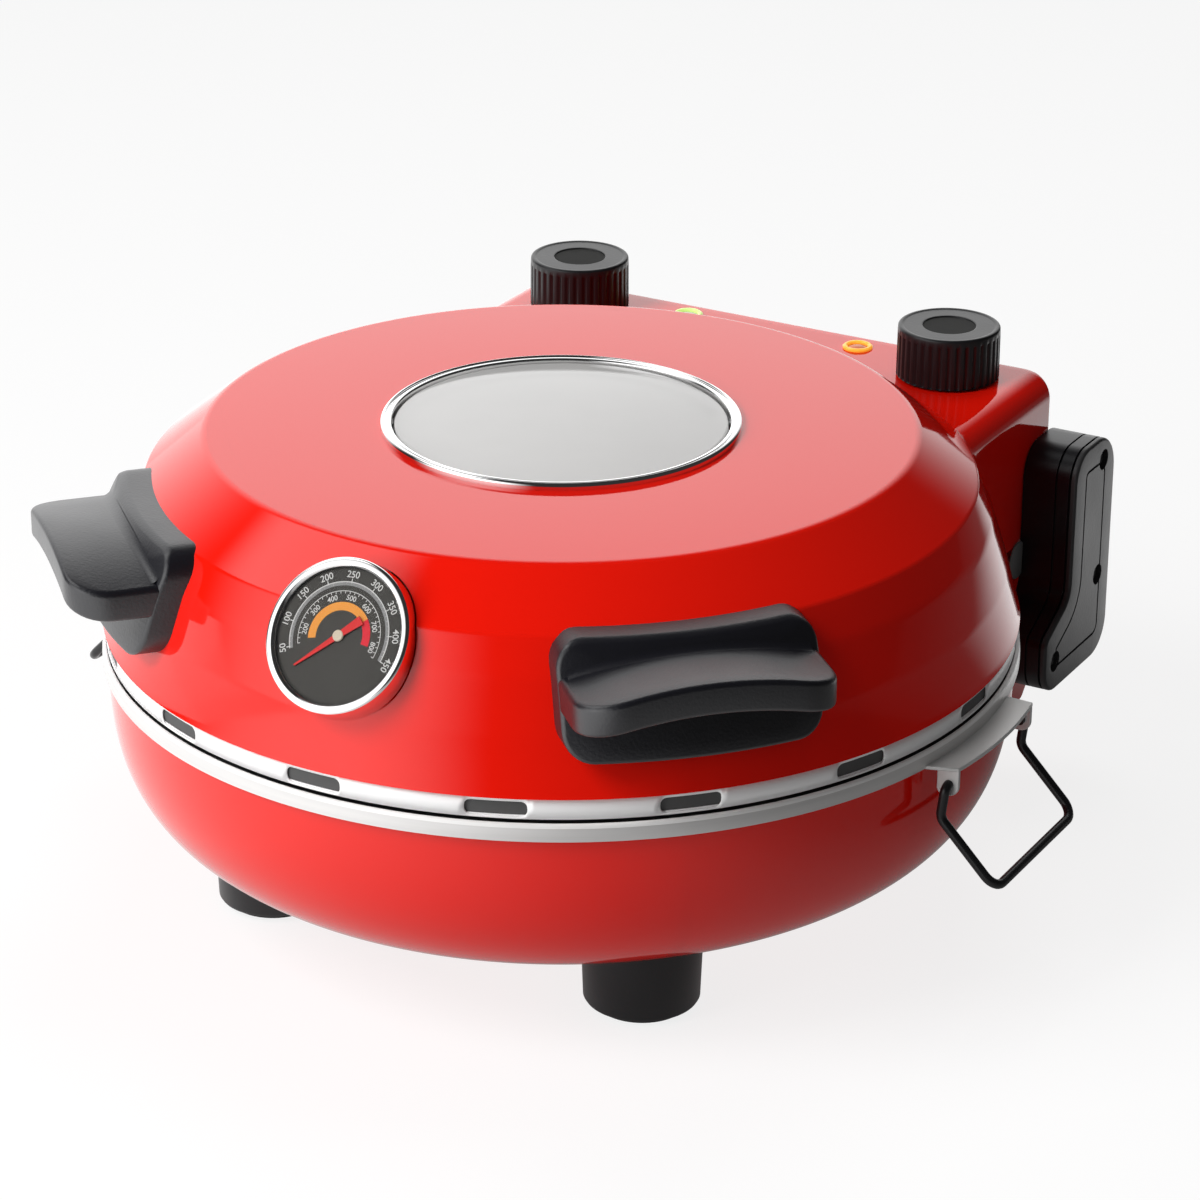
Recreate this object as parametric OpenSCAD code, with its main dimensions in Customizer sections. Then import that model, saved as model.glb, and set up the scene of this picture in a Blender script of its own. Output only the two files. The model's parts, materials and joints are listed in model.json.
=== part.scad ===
// Round clamshell pizza oven for the worktop: a red bowl on four feet, a domed lid with a window,
// a thermometer and two grips, and a control housing behind the dome that carries two knobs.
// The lid swings up about a shaft held by two black arms at the back.
// Everything is drawn about the bowl's own axis; place() then puts the middle of the whole
// footprint on the origin, with the feet standing on z = 0 and the front facing -Y.

/* [Bowl and rim] */
// Outside diameter of the steel rim round the bowl
rim_d = 340; // [336:1:344]
// Height of the bowl's upper edge above the table
bowl_top_z = 94; // [92:1:95]
// Height of the bowl's flat underside above the table
bowl_bottom_z = 25; // [23:1:27]
// Radius of the bowl's flat underside
bowl_flat_r = 92; // [86:1:98]
// How square the bowl's side curve is: 2 is an ellipse
bowl_curve = 2.84; // [2.4:0.02:3.2]
// Thickness of the pressed steel bowl
bowl_wall = 1.6; // [1.2:0.1:2.0]

/* [Lid] */
// Height of the flat disc on top of the lid
disc_z = 179.5; // [178:0.5:181]
// Radius where the flat disc turns into the sloping shoulder
disc_r = 130; // [126:1:132]
// Radius where the shoulder turns into the side wall
shoulder_r = 152; // [150:1:153]
// Height of that turn, and of the control housing's flat top
shoulder_z = 162.5; // [161:0.5:163.5]
// Thickness of the lid's shell
lid_wall = 1.6; // [1.2:0.1:2.0]
// Radius of the chrome ring round the window
window_r = 65.9; // [63:0.1:68]
// Number of vents that the full band would hold
vent_count = 16; // [12:1:18]
// Length of one vent
vent_length = 21.5; // [18:0.5:24]

/* [Control housing] */
// Width of the housing behind the dome
housing_w = 234; // [230:1:234]
// Distance from the bowl's axis back to the housing's rear wall
housing_back = 180; // [179:0.5:180]
// Thickness of the housing's walls
housing_wall = 2.2; // [1.8:0.1:2.4]
// Distance of each knob from the middle
knob_x = 82; // [78:1:84]
// Distance of the knobs behind the bowl's axis
knob_y = 157; // [155:0.5:158]
// Radius of a knob
knob_r = 19.9; // [18:0.1:20.2]
// Height of a knob
knob_h = 20.2; // [18:0.2:22]
// Number of ribs round a knob
knob_ribs = 36; // [24:1:40]
// Distance of each lamp from the middle
lamp_x = 38; // [34:1:42]

/* [Hinge] */
// Distance of the hinge shaft behind the bowl's axis
hinge_y = 181.8; // [181.6:0.1:182]
// Height of the hinge shaft
hinge_z = 98; // [97.5:0.1:98.2]
// Radius of the hinge shaft
shaft_r = 4; // [3.5:0.1:4]
// Running gap between the shaft and the rolled knuckle
shaft_gap = 0.06; // [0.04:0.01:0.08]
// Width of one black arm, from the housing outwards
arm_w = 22; // [20:0.5:24]
// Height of the top of the arms
arm_top_z = 141.3; // [140:0.1:144]

/* [Grips] */
// Angle of each grip from the line midway between them
grip_angle = 44.2; // [43:0.1:46]
// How far that line is turned to the right on the lid
front_turn = 1.3; // [-2:0.1:2]
// Length of one grip along the lid
grip_length = 91; // [88:1:96]
// How far the grip's shelf reaches from the bowl's axis
grip_reach = 190.5; // [186:0.5:194]
// Thickness of the shelf
grip_thick = 11.3; // [10:0.1:13]
// Radius to which the shelf is arched from end to end
shelf_arch_r = 160; // [140:5:200]

/* [Thermometer] */
// Radius of the chrome bezel
gauge_r = 27.1; // [25:0.1:28]
// How far the dial is tipped back from upright
gauge_tilt = 34; // [32:1:36]

/* [Side brackets and wire handles] */
// Distance from the bowl's axis to a bracket's outer edge
bracket_reach = 180; // [178:0.5:182]
// Distance of each ear from the middle of its bracket
ear_y = 31.3; // [30:0.1:33]
// Radius of the wire
wire_r = 1.75; // [1.5:0.05:2]

/* [Feet] */
// Distance from the bowl's axis to the middle of a foot
foot_reach = 111; // [108:1:113]
// Radius of a foot where it meets the table
foot_r = 21; // [19:0.5:22]

/* [Cooking parts] */
// Diameter of the pizza stone
stone_d = 304; // [300:1:304]
// Thickness of the pizza stone
stone_thick = 12; // [10:0.5:12]
// Radius of the heating elements' ring
element_r = 108; // [100:1:112]
// Radius of the heating elements' tube
element_tube_r = 3.25; // [3:0.05:3.5]

/* [Hidden] */
$fn = 96;

// Distance that moves the bowl's axis forward, so that the footprint's middle is the origin
axis_y = -9.5;

rim_r = rim_d / 2;
bowl_r = rim_r - 2;
bowl_depth = bowl_top_z - bowl_bottom_z;
curve_steps = 14;

// The steel rim is a folded channel clipped over the bowl's edge
rim_low_z = bowl_top_z + 1;
rim_top_z = bowl_top_z + 7.8;
rim_sheet = 1.8;
rim_inner_r = rim_r - 14;

// The lid's vented band and the shell's lower lip
band_low_z = bowl_top_z + 9.5;
band_top_z = band_low_z + 7;
band_r = rim_r - 1.7;
band_sheet = 1.2;
lip_r = rim_r - 0.7;

// The side wall's outline from the lip up to the shoulder, as radius against height
wall_mid_z = shoulder_z - 31.9;
wall_high_z = shoulder_z - 13;
wall_line = [
  [band_top_z, lip_r],
  [band_top_z + 2.2, lip_r - 0.9],
  [wall_mid_z, rim_r - 6.2],
  [wall_high_z, rim_r - 12],
  [shoulder_z, shoulder_r]
];

edge_steps = 5;
disc_edge_r = 5;
shoulder_edge_r = 4;

glass_r = window_r - 4.9;
glass_low_z = disc_z - 3.1;
glass_thick = 4;

// Rear box of the base
block_half = housing_w / 2 + 0.5;
block_back = housing_back - 2;
block_low_z = 31;
block_top_z = bowl_top_z - 0.8;
block_rear_z = hinge_z - 7.5;
block_wall = 2;

housing_low_z = hinge_z + 6.5;
housing_edge_r = 9;
housing_corner_r = 4;
housing_rear_r = 2.6;
knob_low_z = shoulder_z + 0.8;
lamp_y = knob_y + 11;
lamp_r = 5.9;

arm_in_x = block_half;
arm_out_x = arm_in_x + arm_w;
arm_cover_w = 5.5;
arm_split_x = arm_out_x - arm_cover_w;
arm_shell = 3.5;
arm_screws = [[180, 131], [180, 82.5], [141.5, 60]];
arm_screw_r = 1.5;
anchor_y = 149;
anchor_z = 90;
anchor_disc_r = 8;

knuckle_sheet = 2;
knuckle_bore_r = shaft_r + shaft_gap;
knuckle_r = knuckle_bore_r + knuckle_sheet;

grip_low_z = shoulder_z - 37;
grip_top_z = shoulder_z + 2.2;
grip_plate = 9.5;
shelf_top_z = shoulder_z - 3;
shelf_arch_z = shelf_top_z - shelf_arch_r;

// Middle of the dial's face, and the direction it looks in
gauge_x = 4.5;
gauge_face = [gauge_x, -157.1, 156.5];
dial_top = -0.4;
dial_sheet = 0.8;

bracket_z = bowl_top_z + 2;
bracket_sheet = 1.5;
pivot_x = 173.5;
pivot_z = bowl_top_z - 5;
bail_side_y = ear_y + 2.7;
bail_bend = [172, bowl_top_z - 17];
bail_low = [194, bowl_top_z - 39.5];
wire_gap = 0.08;

foot_top_r = foot_r + 1;
foot_pad_h = 2.5;
foot_angles = [-135, -45, 135, 45];

liner_r = 154;
liner_sheet = 1.2;
liner_ledge_z = 84.2;
liner_floor_z = 50;
stone_low_z = liner_ledge_z;
lower_element_z = 68;
upper_element_z = 139;
upper_liner_z = 151;
leg_x = 12;
leg_hole_r = 5;

// ---- helpers -------------------------------------------------------------------------------

module place() {
  translate([0, axis_y, 0]) children();
}

// Draws its children on the right and again, mirrored, on the left
module both_sides() {
  children();
  mirror([1, 0, 0]) children();
}

function unit(v) = v / norm(v);

// Points of the arc that rounds the corner at p1
function corner_arc(p0, p1, p2, r, steps) =
  let (
    a = unit(p0 - p1),
    b = unit(p2 - p1),
    half = acos(a * b) / 2,
    centre = p1 + unit(a + b) * r / sin(half),
    start = p1 + a * r / tan(half) - centre,
    finish = p1 + b * r / tan(half) - centre,
    from = atan2(start.y, start.x),
    turn = atan2(finish.y, finish.x) - from,
    sweep = turn > 180 ? turn - 360 : turn < -180 ? turn + 360 : turn
  )
  [for (i = [0 : steps]) centre + r * [cos(from + sweep * i / steps), sin(from + sweep * i / steps)]];

// Turns corners given as [x, y, radius] into a rounded outline
function rounded(corners, steps = 6) =
  let (n = len(corners), at = [for (c = corners) [c.x, c.y]])
  [for (i = [0 : n - 1])
    each (corners[i].z == 0
      ? [at[i]]
      : corner_arc(at[(i + n - 1) % n], at[i], at[(i + 1) % n], corners[i].z, steps))];

// Outside of the bowl from its edge to its flat underside, pulled in by t
function bowl_curve_points(t) = [
  for (i = [0 : curve_steps])
    let (a = 90 * i / curve_steps)
    [bowl_flat_r + (bowl_r - t - bowl_flat_r) * pow(cos(a), 2 / bowl_curve),
     bowl_top_z - (bowl_depth - t) * pow(sin(a), 2 / bowl_curve)]
];

function wall_r(z) = lookup(z, wall_line);

// Outside of the lid's wall between two heights, going up, pushed out by t
function wall_points(z0, z1, t = 0) = concat(
  [[wall_r(z0) + t, z0]],
  [for (p = wall_line) if (p[0] > z0 + 0.1 && p[0] < z1 - 0.1) [p[1] + t, p[0]]],
  [[wall_r(z1) + t, z1]]
);

// Outline of the lid from its lip up over the shoulder to the disc, pulled in by t
function lid_outline(t) = let (
    wall = wall_points(band_top_z, shoulder_z, -t),
    below = wall[len(wall) - 2],
    shoulder = [shoulder_r - t * 0.6, shoulder_z - t * 0.7],
    disc = [disc_r - t * 0.4, disc_z - t]
  )
  concat(
    [for (i = [0 : len(wall) - 2]) wall[i]],
    corner_arc(below, shoulder, disc, shoulder_edge_r - t * 0.7, edge_steps),
    corner_arc(shoulder, disc, [0, disc_z - t], disc_edge_r - t * 0.7, edge_steps)
  );

// The whole space inside the lid's outer surface, down to its lip
module lid_solid() {
  rotate_extrude() polygon(concat(lid_outline(0), [[0, disc_z], [0, band_top_z]]));
}

// The whole space inside the bowl's outer surface
module bowl_solid() {
  rotate_extrude() polygon(concat(bowl_curve_points(0), [[0, bowl_bottom_z], [0, bowl_top_z]]));
}

module ring(r_in, r_out, z0, z1) {
  rotate_extrude() translate([r_in, z0]) square([r_out - r_in, z1 - z0]);
}

// A cylinder whose length lies along X
module rod_x(r, x0, x1) {
  translate([x0, 0, 0]) rotate([0, 90, 0]) cylinder(r = r, h = x1 - x0);
}

// A straight rod between two points
module rod(from, to, r) {
  span = to - from;
  translate(from)
    rotate([0, atan2(norm([span.x, span.y]), span.z), atan2(span.y, span.x)])
      cylinder(r = r, h = norm(span), $fn = 32);
}

// Wire that runs through the points, slightly swollen where it is bent
module bent_wire(points, r) {
  swell = 0.15;
  last = len(points) - 1;
  for (i = [0 : last - 1]) rod(points[i], points[i + 1], r);
  for (i = [1 : last - 1]) translate(points[i]) sphere(r = r + swell, $fn = 32);
}

function reversed(list) = [for (i = [len(list) - 1 : -1 : 0]) list[i]];

// ---- base ----------------------------------------------------------------------------------

module base_bowl() {
  edge_z = rim_top_z - rim_sheet - 1.6;
  cover_r = 58;
  color("red") place() difference() {
    union() {
      rotate_extrude() polygon(concat(
        bowl_curve_points(0),
        [[0, bowl_bottom_z], [0, bowl_bottom_z + bowl_wall]],
        reversed(bowl_curve_points(bowl_wall))
      ));
      ring(bowl_r - bowl_wall, bowl_r, bowl_top_z, edge_z);
    }
    translate([0, 0, bowl_bottom_z - 1]) cylinder(r = cover_r, h = bowl_wall + 2);
    for (x = [-leg_x, leg_x])
      translate([x, 120, lower_element_z]) rotate([-90, 0, 0]) cylinder(r = leg_hole_r, h = 60);
    foot_screw_holes();
  }
}

module foot_screw_holes() {
  for (a = foot_angles)
    rotate(a) translate([foot_reach, 0, bowl_bottom_z - 12]) cylinder(r = 2.5, h = 24);
}

module base_rim() {
  lip = 8;
  outer = rounded([
    [rim_r, rim_low_z, 0],
    [rim_r, rim_top_z, 3],
    [rim_inner_r, rim_top_z, 1.2],
    [rim_inner_r, rim_top_z - lip, 0]
  ], 4);
  inner = [
    [rim_inner_r + rim_sheet, rim_top_z - lip],
    [rim_inner_r + rim_sheet, rim_top_z - rim_sheet],
    [rim_r - rim_sheet - 1.2, rim_top_z - rim_sheet],
    [rim_r - rim_sheet, rim_top_z - rim_sheet - 1.4],
    [rim_r - rim_sheet, rim_low_z]
  ];
  color("silver") place() rotate_extrude() polygon(concat(outer, inner));
}

// Bright dish under the stone, with a ledge that carries the stone
module lower_liner() {
  ledge_r = 146;
  floor_r = 132;
  corner_r = 8;
  flange_z = rim_top_z - 2;
  outer = rounded([
    [liner_r, flange_z, 0],
    [liner_r, liner_ledge_z - liner_sheet, 0],
    [ledge_r, liner_ledge_z - liner_sheet, 0],
    [floor_r, liner_floor_z, corner_r],
    [0, liner_floor_z, 0]
  ]);
  inner = rounded([
    [0, liner_floor_z + liner_sheet, 0],
    [floor_r - liner_sheet, liner_floor_z + liner_sheet, corner_r - liner_sheet],
    [ledge_r - liner_sheet, liner_ledge_z, 0],
    [liner_r - liner_sheet, liner_ledge_z, 0],
    [liner_r - liner_sheet, flange_z, 0]
  ]);
  color("gainsboro") place() difference() {
    union() {
      rotate_extrude() polygon(concat(outer, inner));
      ring(liner_r - liner_sheet, rim_inner_r, flange_z - liner_sheet, flange_z);
    }
    for (x = [-leg_x, leg_x])
      translate([x, 120, lower_element_z]) rotate([-90, 0, 0]) cylinder(r = leg_hole_r, h = 40);
  }
}

// Ring element with two legs that run back through the wall to flat terminals
module element(z, leg_end) {
  gap = asin((leg_x - element_tube_r - 0.6) / element_r);
  translate([0, 0, z]) {
    rotate(90 + gap) rotate_extrude(angle = 360 - 2 * gap)
      translate([element_r, 0]) circle(r = element_tube_r, $fn = 24);
    for (x = [-leg_x, leg_x]) {
      translate([x, element_r - 0.8, 0]) rotate([-90, 0, 0])
        cylinder(r = element_tube_r - 0.2, h = leg_end - element_r, $fn = 24);
      translate([x - 2, leg_end - 4, -0.4]) cube([4, 9, 0.8]);
    }
  }
}

// Three posts that hold an element, each with an eye round the tube
module element_clips(z, foot_z) {
  eye_r = element_tube_r + 1.2;
  for (a = [-90, 30, 150]) rotate(a) difference() {
    union() {
      translate([element_r - 4, -4, min(z, foot_z)]) cube([8, 8, abs(z - foot_z)]);
      translate([element_r, 4, z]) rotate([90, 0, 0]) cylinder(r = eye_r, h = 8, $fn = 32);
    }
    translate([0, 0, z]) rotate_extrude()
      translate([element_r, 0]) circle(r = element_tube_r, $fn = 24);
  }
}

module lower_element() {
  color("dimgray") place() element(lower_element_z, 166);
}

module lower_element_clips() {
  color("lightgray") place() element_clips(lower_element_z, liner_floor_z + liner_sheet);
}

module pizza_stone() {
  edge = 1.5;
  r = stone_d / 2;
  color("burlywood") place() rotate_extrude() polygon(rounded([
    [0, stone_low_z, 0],
    [r, stone_low_z, edge],
    [r, stone_low_z + stone_thick, edge],
    [0, stone_low_z + stone_thick, 0]
  ], 3));
}

// Round plate under the bowl with rows of vents and four screws
module bottom_cover() {
  r = 66;
  screw_reach = 62;
  vent_w = 4;
  color("dimgray") place() difference() {
    union() {
      translate([0, 0, bowl_bottom_z - 1.4]) cylinder(r = r, h = 1.4);
      for (a = [45 : 90 : 315])
        rotate(a) translate([screw_reach, 0, bowl_bottom_z - 3]) cylinder(r = 3.4, h = 1.6);
    }
    for (x = [-40 : 10 : 40])
      translate([x - vent_w / 2, -22, bowl_bottom_z - 4]) cube([vent_w, 44, 8]);
  }
}

module foot(angle) {
  color("black") place() difference() {
    rotate(angle) translate([foot_reach, 0, 0]) {
      translate([0, 0, foot_pad_h - 1]) cylinder(r1 = foot_r, r2 = foot_top_r, h = 30 - foot_pad_h);
    }
    bowl_solid();
    rotate(angle) translate([foot_reach, 0, foot_pad_h - 2]) cylinder(r = foot_r - 4, h = 2);
    rotate(angle) translate([foot_reach, 0, 10]) cylinder(r = 2, h = 30);
  }
}

module foot_front_left() {
  foot(foot_angles[0]);
}

module foot_front_right() {
  foot(foot_angles[1]);
}

module foot_rear_left() {
  foot(foot_angles[2]);
}

module foot_rear_right() {
  foot(foot_angles[3]);
}

module foot_pads() {
  color("darkslategray") place() for (a = foot_angles)
    rotate(a) translate([foot_reach, 0, 0]) cylinder(r = foot_r - 4, h = foot_pad_h);
}

module foot_screws() {
  head_z = bowl_bottom_z + bowl_wall + 1;
  color("silver") place() for (a = foot_angles) rotate(a) translate([foot_reach, 0, 0]) {
    translate([0, 0, 12]) cylinder(r = 2, h = head_z - 12);
    translate([0, 0, head_z]) cylinder(r = 4.2, h = 2.6);
  }
}

// Outline of the rear box seen from the side, pulled in by t
function block_side(t) = rounded([
  [80, block_low_z + t, 0],
  [block_back - 16, block_low_z + t, 4],
  [block_back - t, block_low_z + 16, 6],
  [block_back - t, block_rear_z - t, 2],
  [block_back - 7 - t, block_rear_z - t, 0],
  [block_back - 7 - t, block_top_z - t, 0],
  [80, block_top_z - t, 0]
], 4);

// Red box behind the bowl that carries the arms and holds the wiring
module base_block() {
  color("red") place() difference() {
    rotate([90, 0, 90]) translate([0, 0, -block_half])
      linear_extrude(2 * block_half) polygon(block_side(0));
    rotate([90, 0, 90]) translate([0, 0, -block_half + block_wall])
      linear_extrude(2 * (block_half - block_wall)) polygon(block_side(block_wall));
    bowl_solid();
    rear_opening();
    both_sides() anchor_hole();
    translate([0, 0, block_top_z - 6]) cylinder(r = rim_inner_r + 2, h = 20);
  }
}

module anchor_hole() {
  translate([0, anchor_y, anchor_z]) rod_x(3, block_half - 6, block_half + 2);
}

cover_half = 84;
cover_low_z = block_low_z + 20;
cover_high_z = block_rear_z - 6;

module rear_opening() {
  translate([-cover_half + 5, block_back - 10, cover_low_z + 4])
    cube([2 * (cover_half - 5), 12, cover_high_z - cover_low_z - 8]);
}

// Flat plate that closes the rear box, with louvres and the cord's opening
module rear_cover() {
  slot_w = 3;
  color("dimgray") place() difference() {
    translate([0, block_back + 1.2, 0]) rotate([90, 0, 0]) linear_extrude(1.2) polygon(rounded([
      [-cover_half, cover_low_z, 4],
      [cover_half, cover_low_z, 4],
      [cover_half, cover_high_z, 4],
      [-cover_half, cover_high_z, 4]
    ], 4));
    for (x = [-66 : 9 : -12])
      translate([x, block_back - 2, cover_low_z + 9]) cube([slot_w, 6, 14]);
    translate([gland_x, block_back - 2, gland_z]) rotate([-90, 0, 0]) cylinder(r = 6, h = 6);
  }
}

gland_x = 58;
gland_z = cover_low_z + 17;

module rear_cover_screws() {
  color("silver") place() for (x = [-cover_half + 7, cover_half - 7])
    for (z = [cover_low_z + 6, cover_high_z - 6])
      translate([x, block_back + 1.2, z]) rotate([-90, 0, 0]) cylinder(r = 3, h = 1.6);
}

// Bush that the mains lead would leave through
module cord_gland() {
  bore_r = 3.6;
  color("black") place() translate([gland_x, block_back, gland_z]) rotate([-90, 0, 0])
    difference() {
      union() {
        translate([0, 0, -5]) cylinder(r = 6, h = 6.2);
        translate([0, 0, 1.2]) cylinder(r = 9, h = 2.4);
        translate([0, 0, 3.6]) cylinder(r1 = 7, r2 = 6, h = 6);
      }
      translate([0, 0, -6]) cylinder(r = bore_r, h = 20);
    }
}

module terminal_block() {
  color("ivory") place() translate([52, 150.5, block_low_z + block_wall]) difference() {
    cube([36, 9, 14]);
    for (i = [0 : 2])
      translate([6 + 12 * i, -1, 7]) rotate([-90, 0, 0]) cylinder(r = 2.2, h = 11);
  }
}

// ---- arms and hinge ------------------------------------------------------------------------

// Side view of an arm as [y, z], pulled in by t
function arm_side(t) = rounded([
  [153.5 + t, arm_top_z - t, 12 - t],
  [191.5 - t, arm_top_z - t, 16 - t],
  [192 - t, 47.5 + t, 14 - t],
  [132.5 + t, 47.5 + t, 11 - t],
  [132 + t, 71 - t * 0.6, max(5 - t, 1)],
  [153.5 + t, 82 - t * 0.6, 10 + t]
]);

module arm_slice(x0, x1, t) {
  rotate([90, 0, 90]) translate([0, 0, x0]) linear_extrude(x1 - x0) polygon(arm_side(t));
}

module arm_right_body() {
  floor_x = arm_in_x + 3.2;
  difference() {
    arm_slice(arm_in_x, arm_split_x, 0);
    difference() {
      arm_slice(floor_x, arm_split_x + 1, arm_shell);
      for (s = arm_screws) translate([0, s.x, s.y]) rod_x(4.5, arm_in_x, arm_split_x + 2);
      translate([0, hinge_y, hinge_z]) rod_x(7.5, arm_in_x, arm_split_x + 2);
    }
    translate([0, hinge_y, hinge_z]) rod_x(shaft_r, arm_in_x - 1, arm_split_x + 2);
    for (s = arm_screws)
      translate([0, s.x, s.y]) rod_x(arm_screw_r, arm_split_x - 9, arm_split_x + 2);
    translate([0, anchor_y, anchor_z]) {
      rod_x(anchor_disc_r + 0.2, arm_in_x - 1, arm_in_x + 1.2);
    }
    for (p = arm_bolt_places) translate([0, p.x, p.y]) rod_x(2.5, arm_in_x - 1, floor_x + 1);
  }
}

arm_bolt_places = [[166, 62], [166, 82]];

module arm_right() {
  color("black") place() arm_right_body();
}

module arm_left() {
  color("black") place() mirror([1, 0, 0]) arm_right_body();
}

// Outer plate of an arm: a seam behind it, a bevelled edge, a groove and sunk screw places
module arm_cover_body() {
  seam = 1;
  bevel = 1.2;
  groove_in = 5.2;
  groove_w = 1.1;
  groove_deep = 0.9;
  sink = 3.2;
  difference() {
    union() {
      arm_slice(arm_split_x, arm_split_x + seam, 1.2);
      arm_slice(arm_split_x + seam, arm_out_x - bevel, 0);
      arm_slice(arm_out_x - bevel, arm_out_x, 0.9);
    }
    difference() {
      arm_slice(arm_out_x - groove_deep, arm_out_x + 1, groove_in);
      arm_slice(arm_out_x - groove_deep - 1, arm_out_x + 2, groove_in + groove_w);
    }
    for (s = arm_screws) translate([0, s.x, s.y]) {
      rod_x(arm_screw_r, arm_split_x - 1, arm_out_x + 1);
      rod_x(4.2, arm_out_x - sink, arm_out_x + 1);
    }
  }
}

module arm_cover_right() {
  color("dimgray") place() arm_cover_body();
}

module arm_cover_left() {
  color("dimgray") place() mirror([1, 0, 0]) arm_cover_body();
}

module arm_cover_screws() {
  color("black") place() both_sides() for (s = arm_screws) translate([0, s.x, s.y]) {
    rod_x(arm_screw_r, arm_split_x - 9, arm_out_x - 3.2);
    difference() {
      rod_x(3.4, arm_out_x - 3.2, arm_out_x - 1.2);
      for (a = [0, 90]) rotate([a, 0, 0])
        translate([arm_out_x - 2.2, -2.2, -0.45]) cube([2, 4.4, 0.9]);
    }
  }
}

// Bolts that clamp each arm to the rear box; the front one has a broad washer that shows
module arm_anchor_bolts() {
  inner_x = block_half - 5;
  disc_thick = 1;
  color("gray") place() both_sides() {
    translate([0, anchor_y, anchor_z]) {
      rod_x(anchor_disc_r, arm_in_x, arm_in_x + disc_thick);
      rod_x(3, inner_x, arm_in_x);
    }
    for (p = arm_bolt_places) translate([0, p.x, p.y]) {
      rod_x(2.5, arm_in_x, arm_in_x + 3.2);
      rod_x(4.5, arm_in_x + 3.2, arm_in_x + 6.4);
    }
  }
}

module hinge_shaft() {
  half = arm_split_x - 0.5;
  color("silver") place() translate([0, hinge_y, hinge_z]) rod_x(shaft_r, -half, half);
}

// Steel strip inside the housing's rear wall, rolled round the shaft at its lower edge
module hinge_leaf() {
  half = housing_w / 2 - 1.5;
  face_y = housing_back - housing_wall;
  back_y = hinge_y - knuckle_r;
  color("lightgray") place() difference() {
    union() {
      translate([0, hinge_y, hinge_z]) rod_x(knuckle_r, -half, half);
      translate([-half + 8, back_y, hinge_z]) cube([2 * half - 16, face_y - back_y, 30]);
    }
    translate([0, hinge_y, hinge_z]) rod_x(knuckle_bore_r, -half - 1, half + 1);
    for (x = leaf_screw_x)
      translate([x, back_y - 1, leaf_screw_z]) rotate([-90, 0, 0]) cylinder(r = 2, h = 4);
  }
}

leaf_screw_x = [-96, -36, 36, 96];
leaf_screw_z = 118;

module leaf_screws() {
  color("silver") place() for (x = leaf_screw_x) translate([x, 0, leaf_screw_z]) {
    translate([0, hinge_y - knuckle_r - 3, 0]) rotate([-90, 0, 0])
      cylinder(r = 2, h = housing_back - hinge_y + knuckle_r + 3);
    translate([0, housing_back, 0]) rotate([-90, 0, 0]) cylinder(r = 3.6, h = 1.5);
  }
}

// ---- side brackets and wire handles --------------------------------------------------------

module side_bracket() {
  ear_low = pivot_z - 4.5;
  difference() {
    union() {
      intersection() {
        ring(rim_r, bracket_reach, bracket_z - bracket_sheet, bracket_z);
        translate([100, -ear_y, bracket_z - 5]) cube([100, 2 * ear_y, 10]);
      }
      for (s = [-1, 1]) translate([0, s == 1 ? ear_y : -ear_y + bracket_sheet, 0])
        rotate([90, 0, 0]) linear_extrude(bracket_sheet) polygon(rounded([
          [168.6, bracket_z, 0],
          [168.6, ear_low, 2.5],
          [177.2, ear_low, 4],
          [177.2, bracket_z, 0]
        ], 4));
    }
    translate([pivot_x, -50, pivot_z]) rotate([-90, 0, 0])
      cylinder(r = wire_r + wire_gap, h = 100);
    ring(rim_inner_r, rim_r, bracket_z - 20, bracket_z + 5);
  }
}

module side_bracket_right() {
  color("silver") place() side_bracket();
}

module side_bracket_left() {
  color("silver") place() mirror([1, 0, 0]) side_bracket();
}

// Bent wire handle: two pins in the ears, two cranked legs and a straight bar
module bail() {
  pin_y = ear_y - bracket_sheet - 1.5;
  half = [
    [pivot_x, pin_y, pivot_z],
    [pivot_x, bail_side_y, pivot_z],
    [bail_bend.x, bail_side_y, bail_bend.y],
    [bail_low.x, bail_side_y, bail_low.y]
  ];
  bent_wire(concat(half, [for (p = reversed(half)) [p.x, -p.y, p.z]]), wire_r);
}

module bail_right() {
  color("black") place() bail();
}

module bail_left() {
  color("black") place() mirror([1, 0, 0]) bail();
}

// Four heat-proof pads on the rim that the lid comes down on
module lid_bumpers() {
  color("dimgray") place() for (a = [-150, -30, 30, 150])
    rotate(a) translate([rim_r - 8.5, 0, rim_top_z]) cylinder(r = 4, h = band_low_z - rim_top_z - 0.1);
}

// ---- lid -----------------------------------------------------------------------------------

module lid_shell() {
  hole_r = window_r - 3.6;
  color("red") place() difference() {
    union() {
      rotate_extrude() polygon(concat(
        lid_outline(0),
        [[hole_r, disc_z], [hole_r, disc_z - lid_wall]],
        reversed(lid_outline(lid_wall))
      ));
      intersection() {
        lid_solid();
        gauge_axis() translate([0, 0, -6.8]) cylinder(r = gauge_r + 1.6, h = 20);
      }
    }
    gauge_axis() translate([0, 0, -5.2]) cylinder(r = gauge_r + 0.4, h = 30);
    gauge_axis() cylinder(r = gauge_r - 4, h = 60, center = true);
    for (x = [-leg_x, leg_x])
      translate([x, 120, upper_element_z]) rotate([-90, 0, 0]) cylinder(r = leg_hole_r, h = 60);
    grip_screw_places() translate([0, 0, 120]) cylinder(r = 2.5, h = 60);
  }
}

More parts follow.
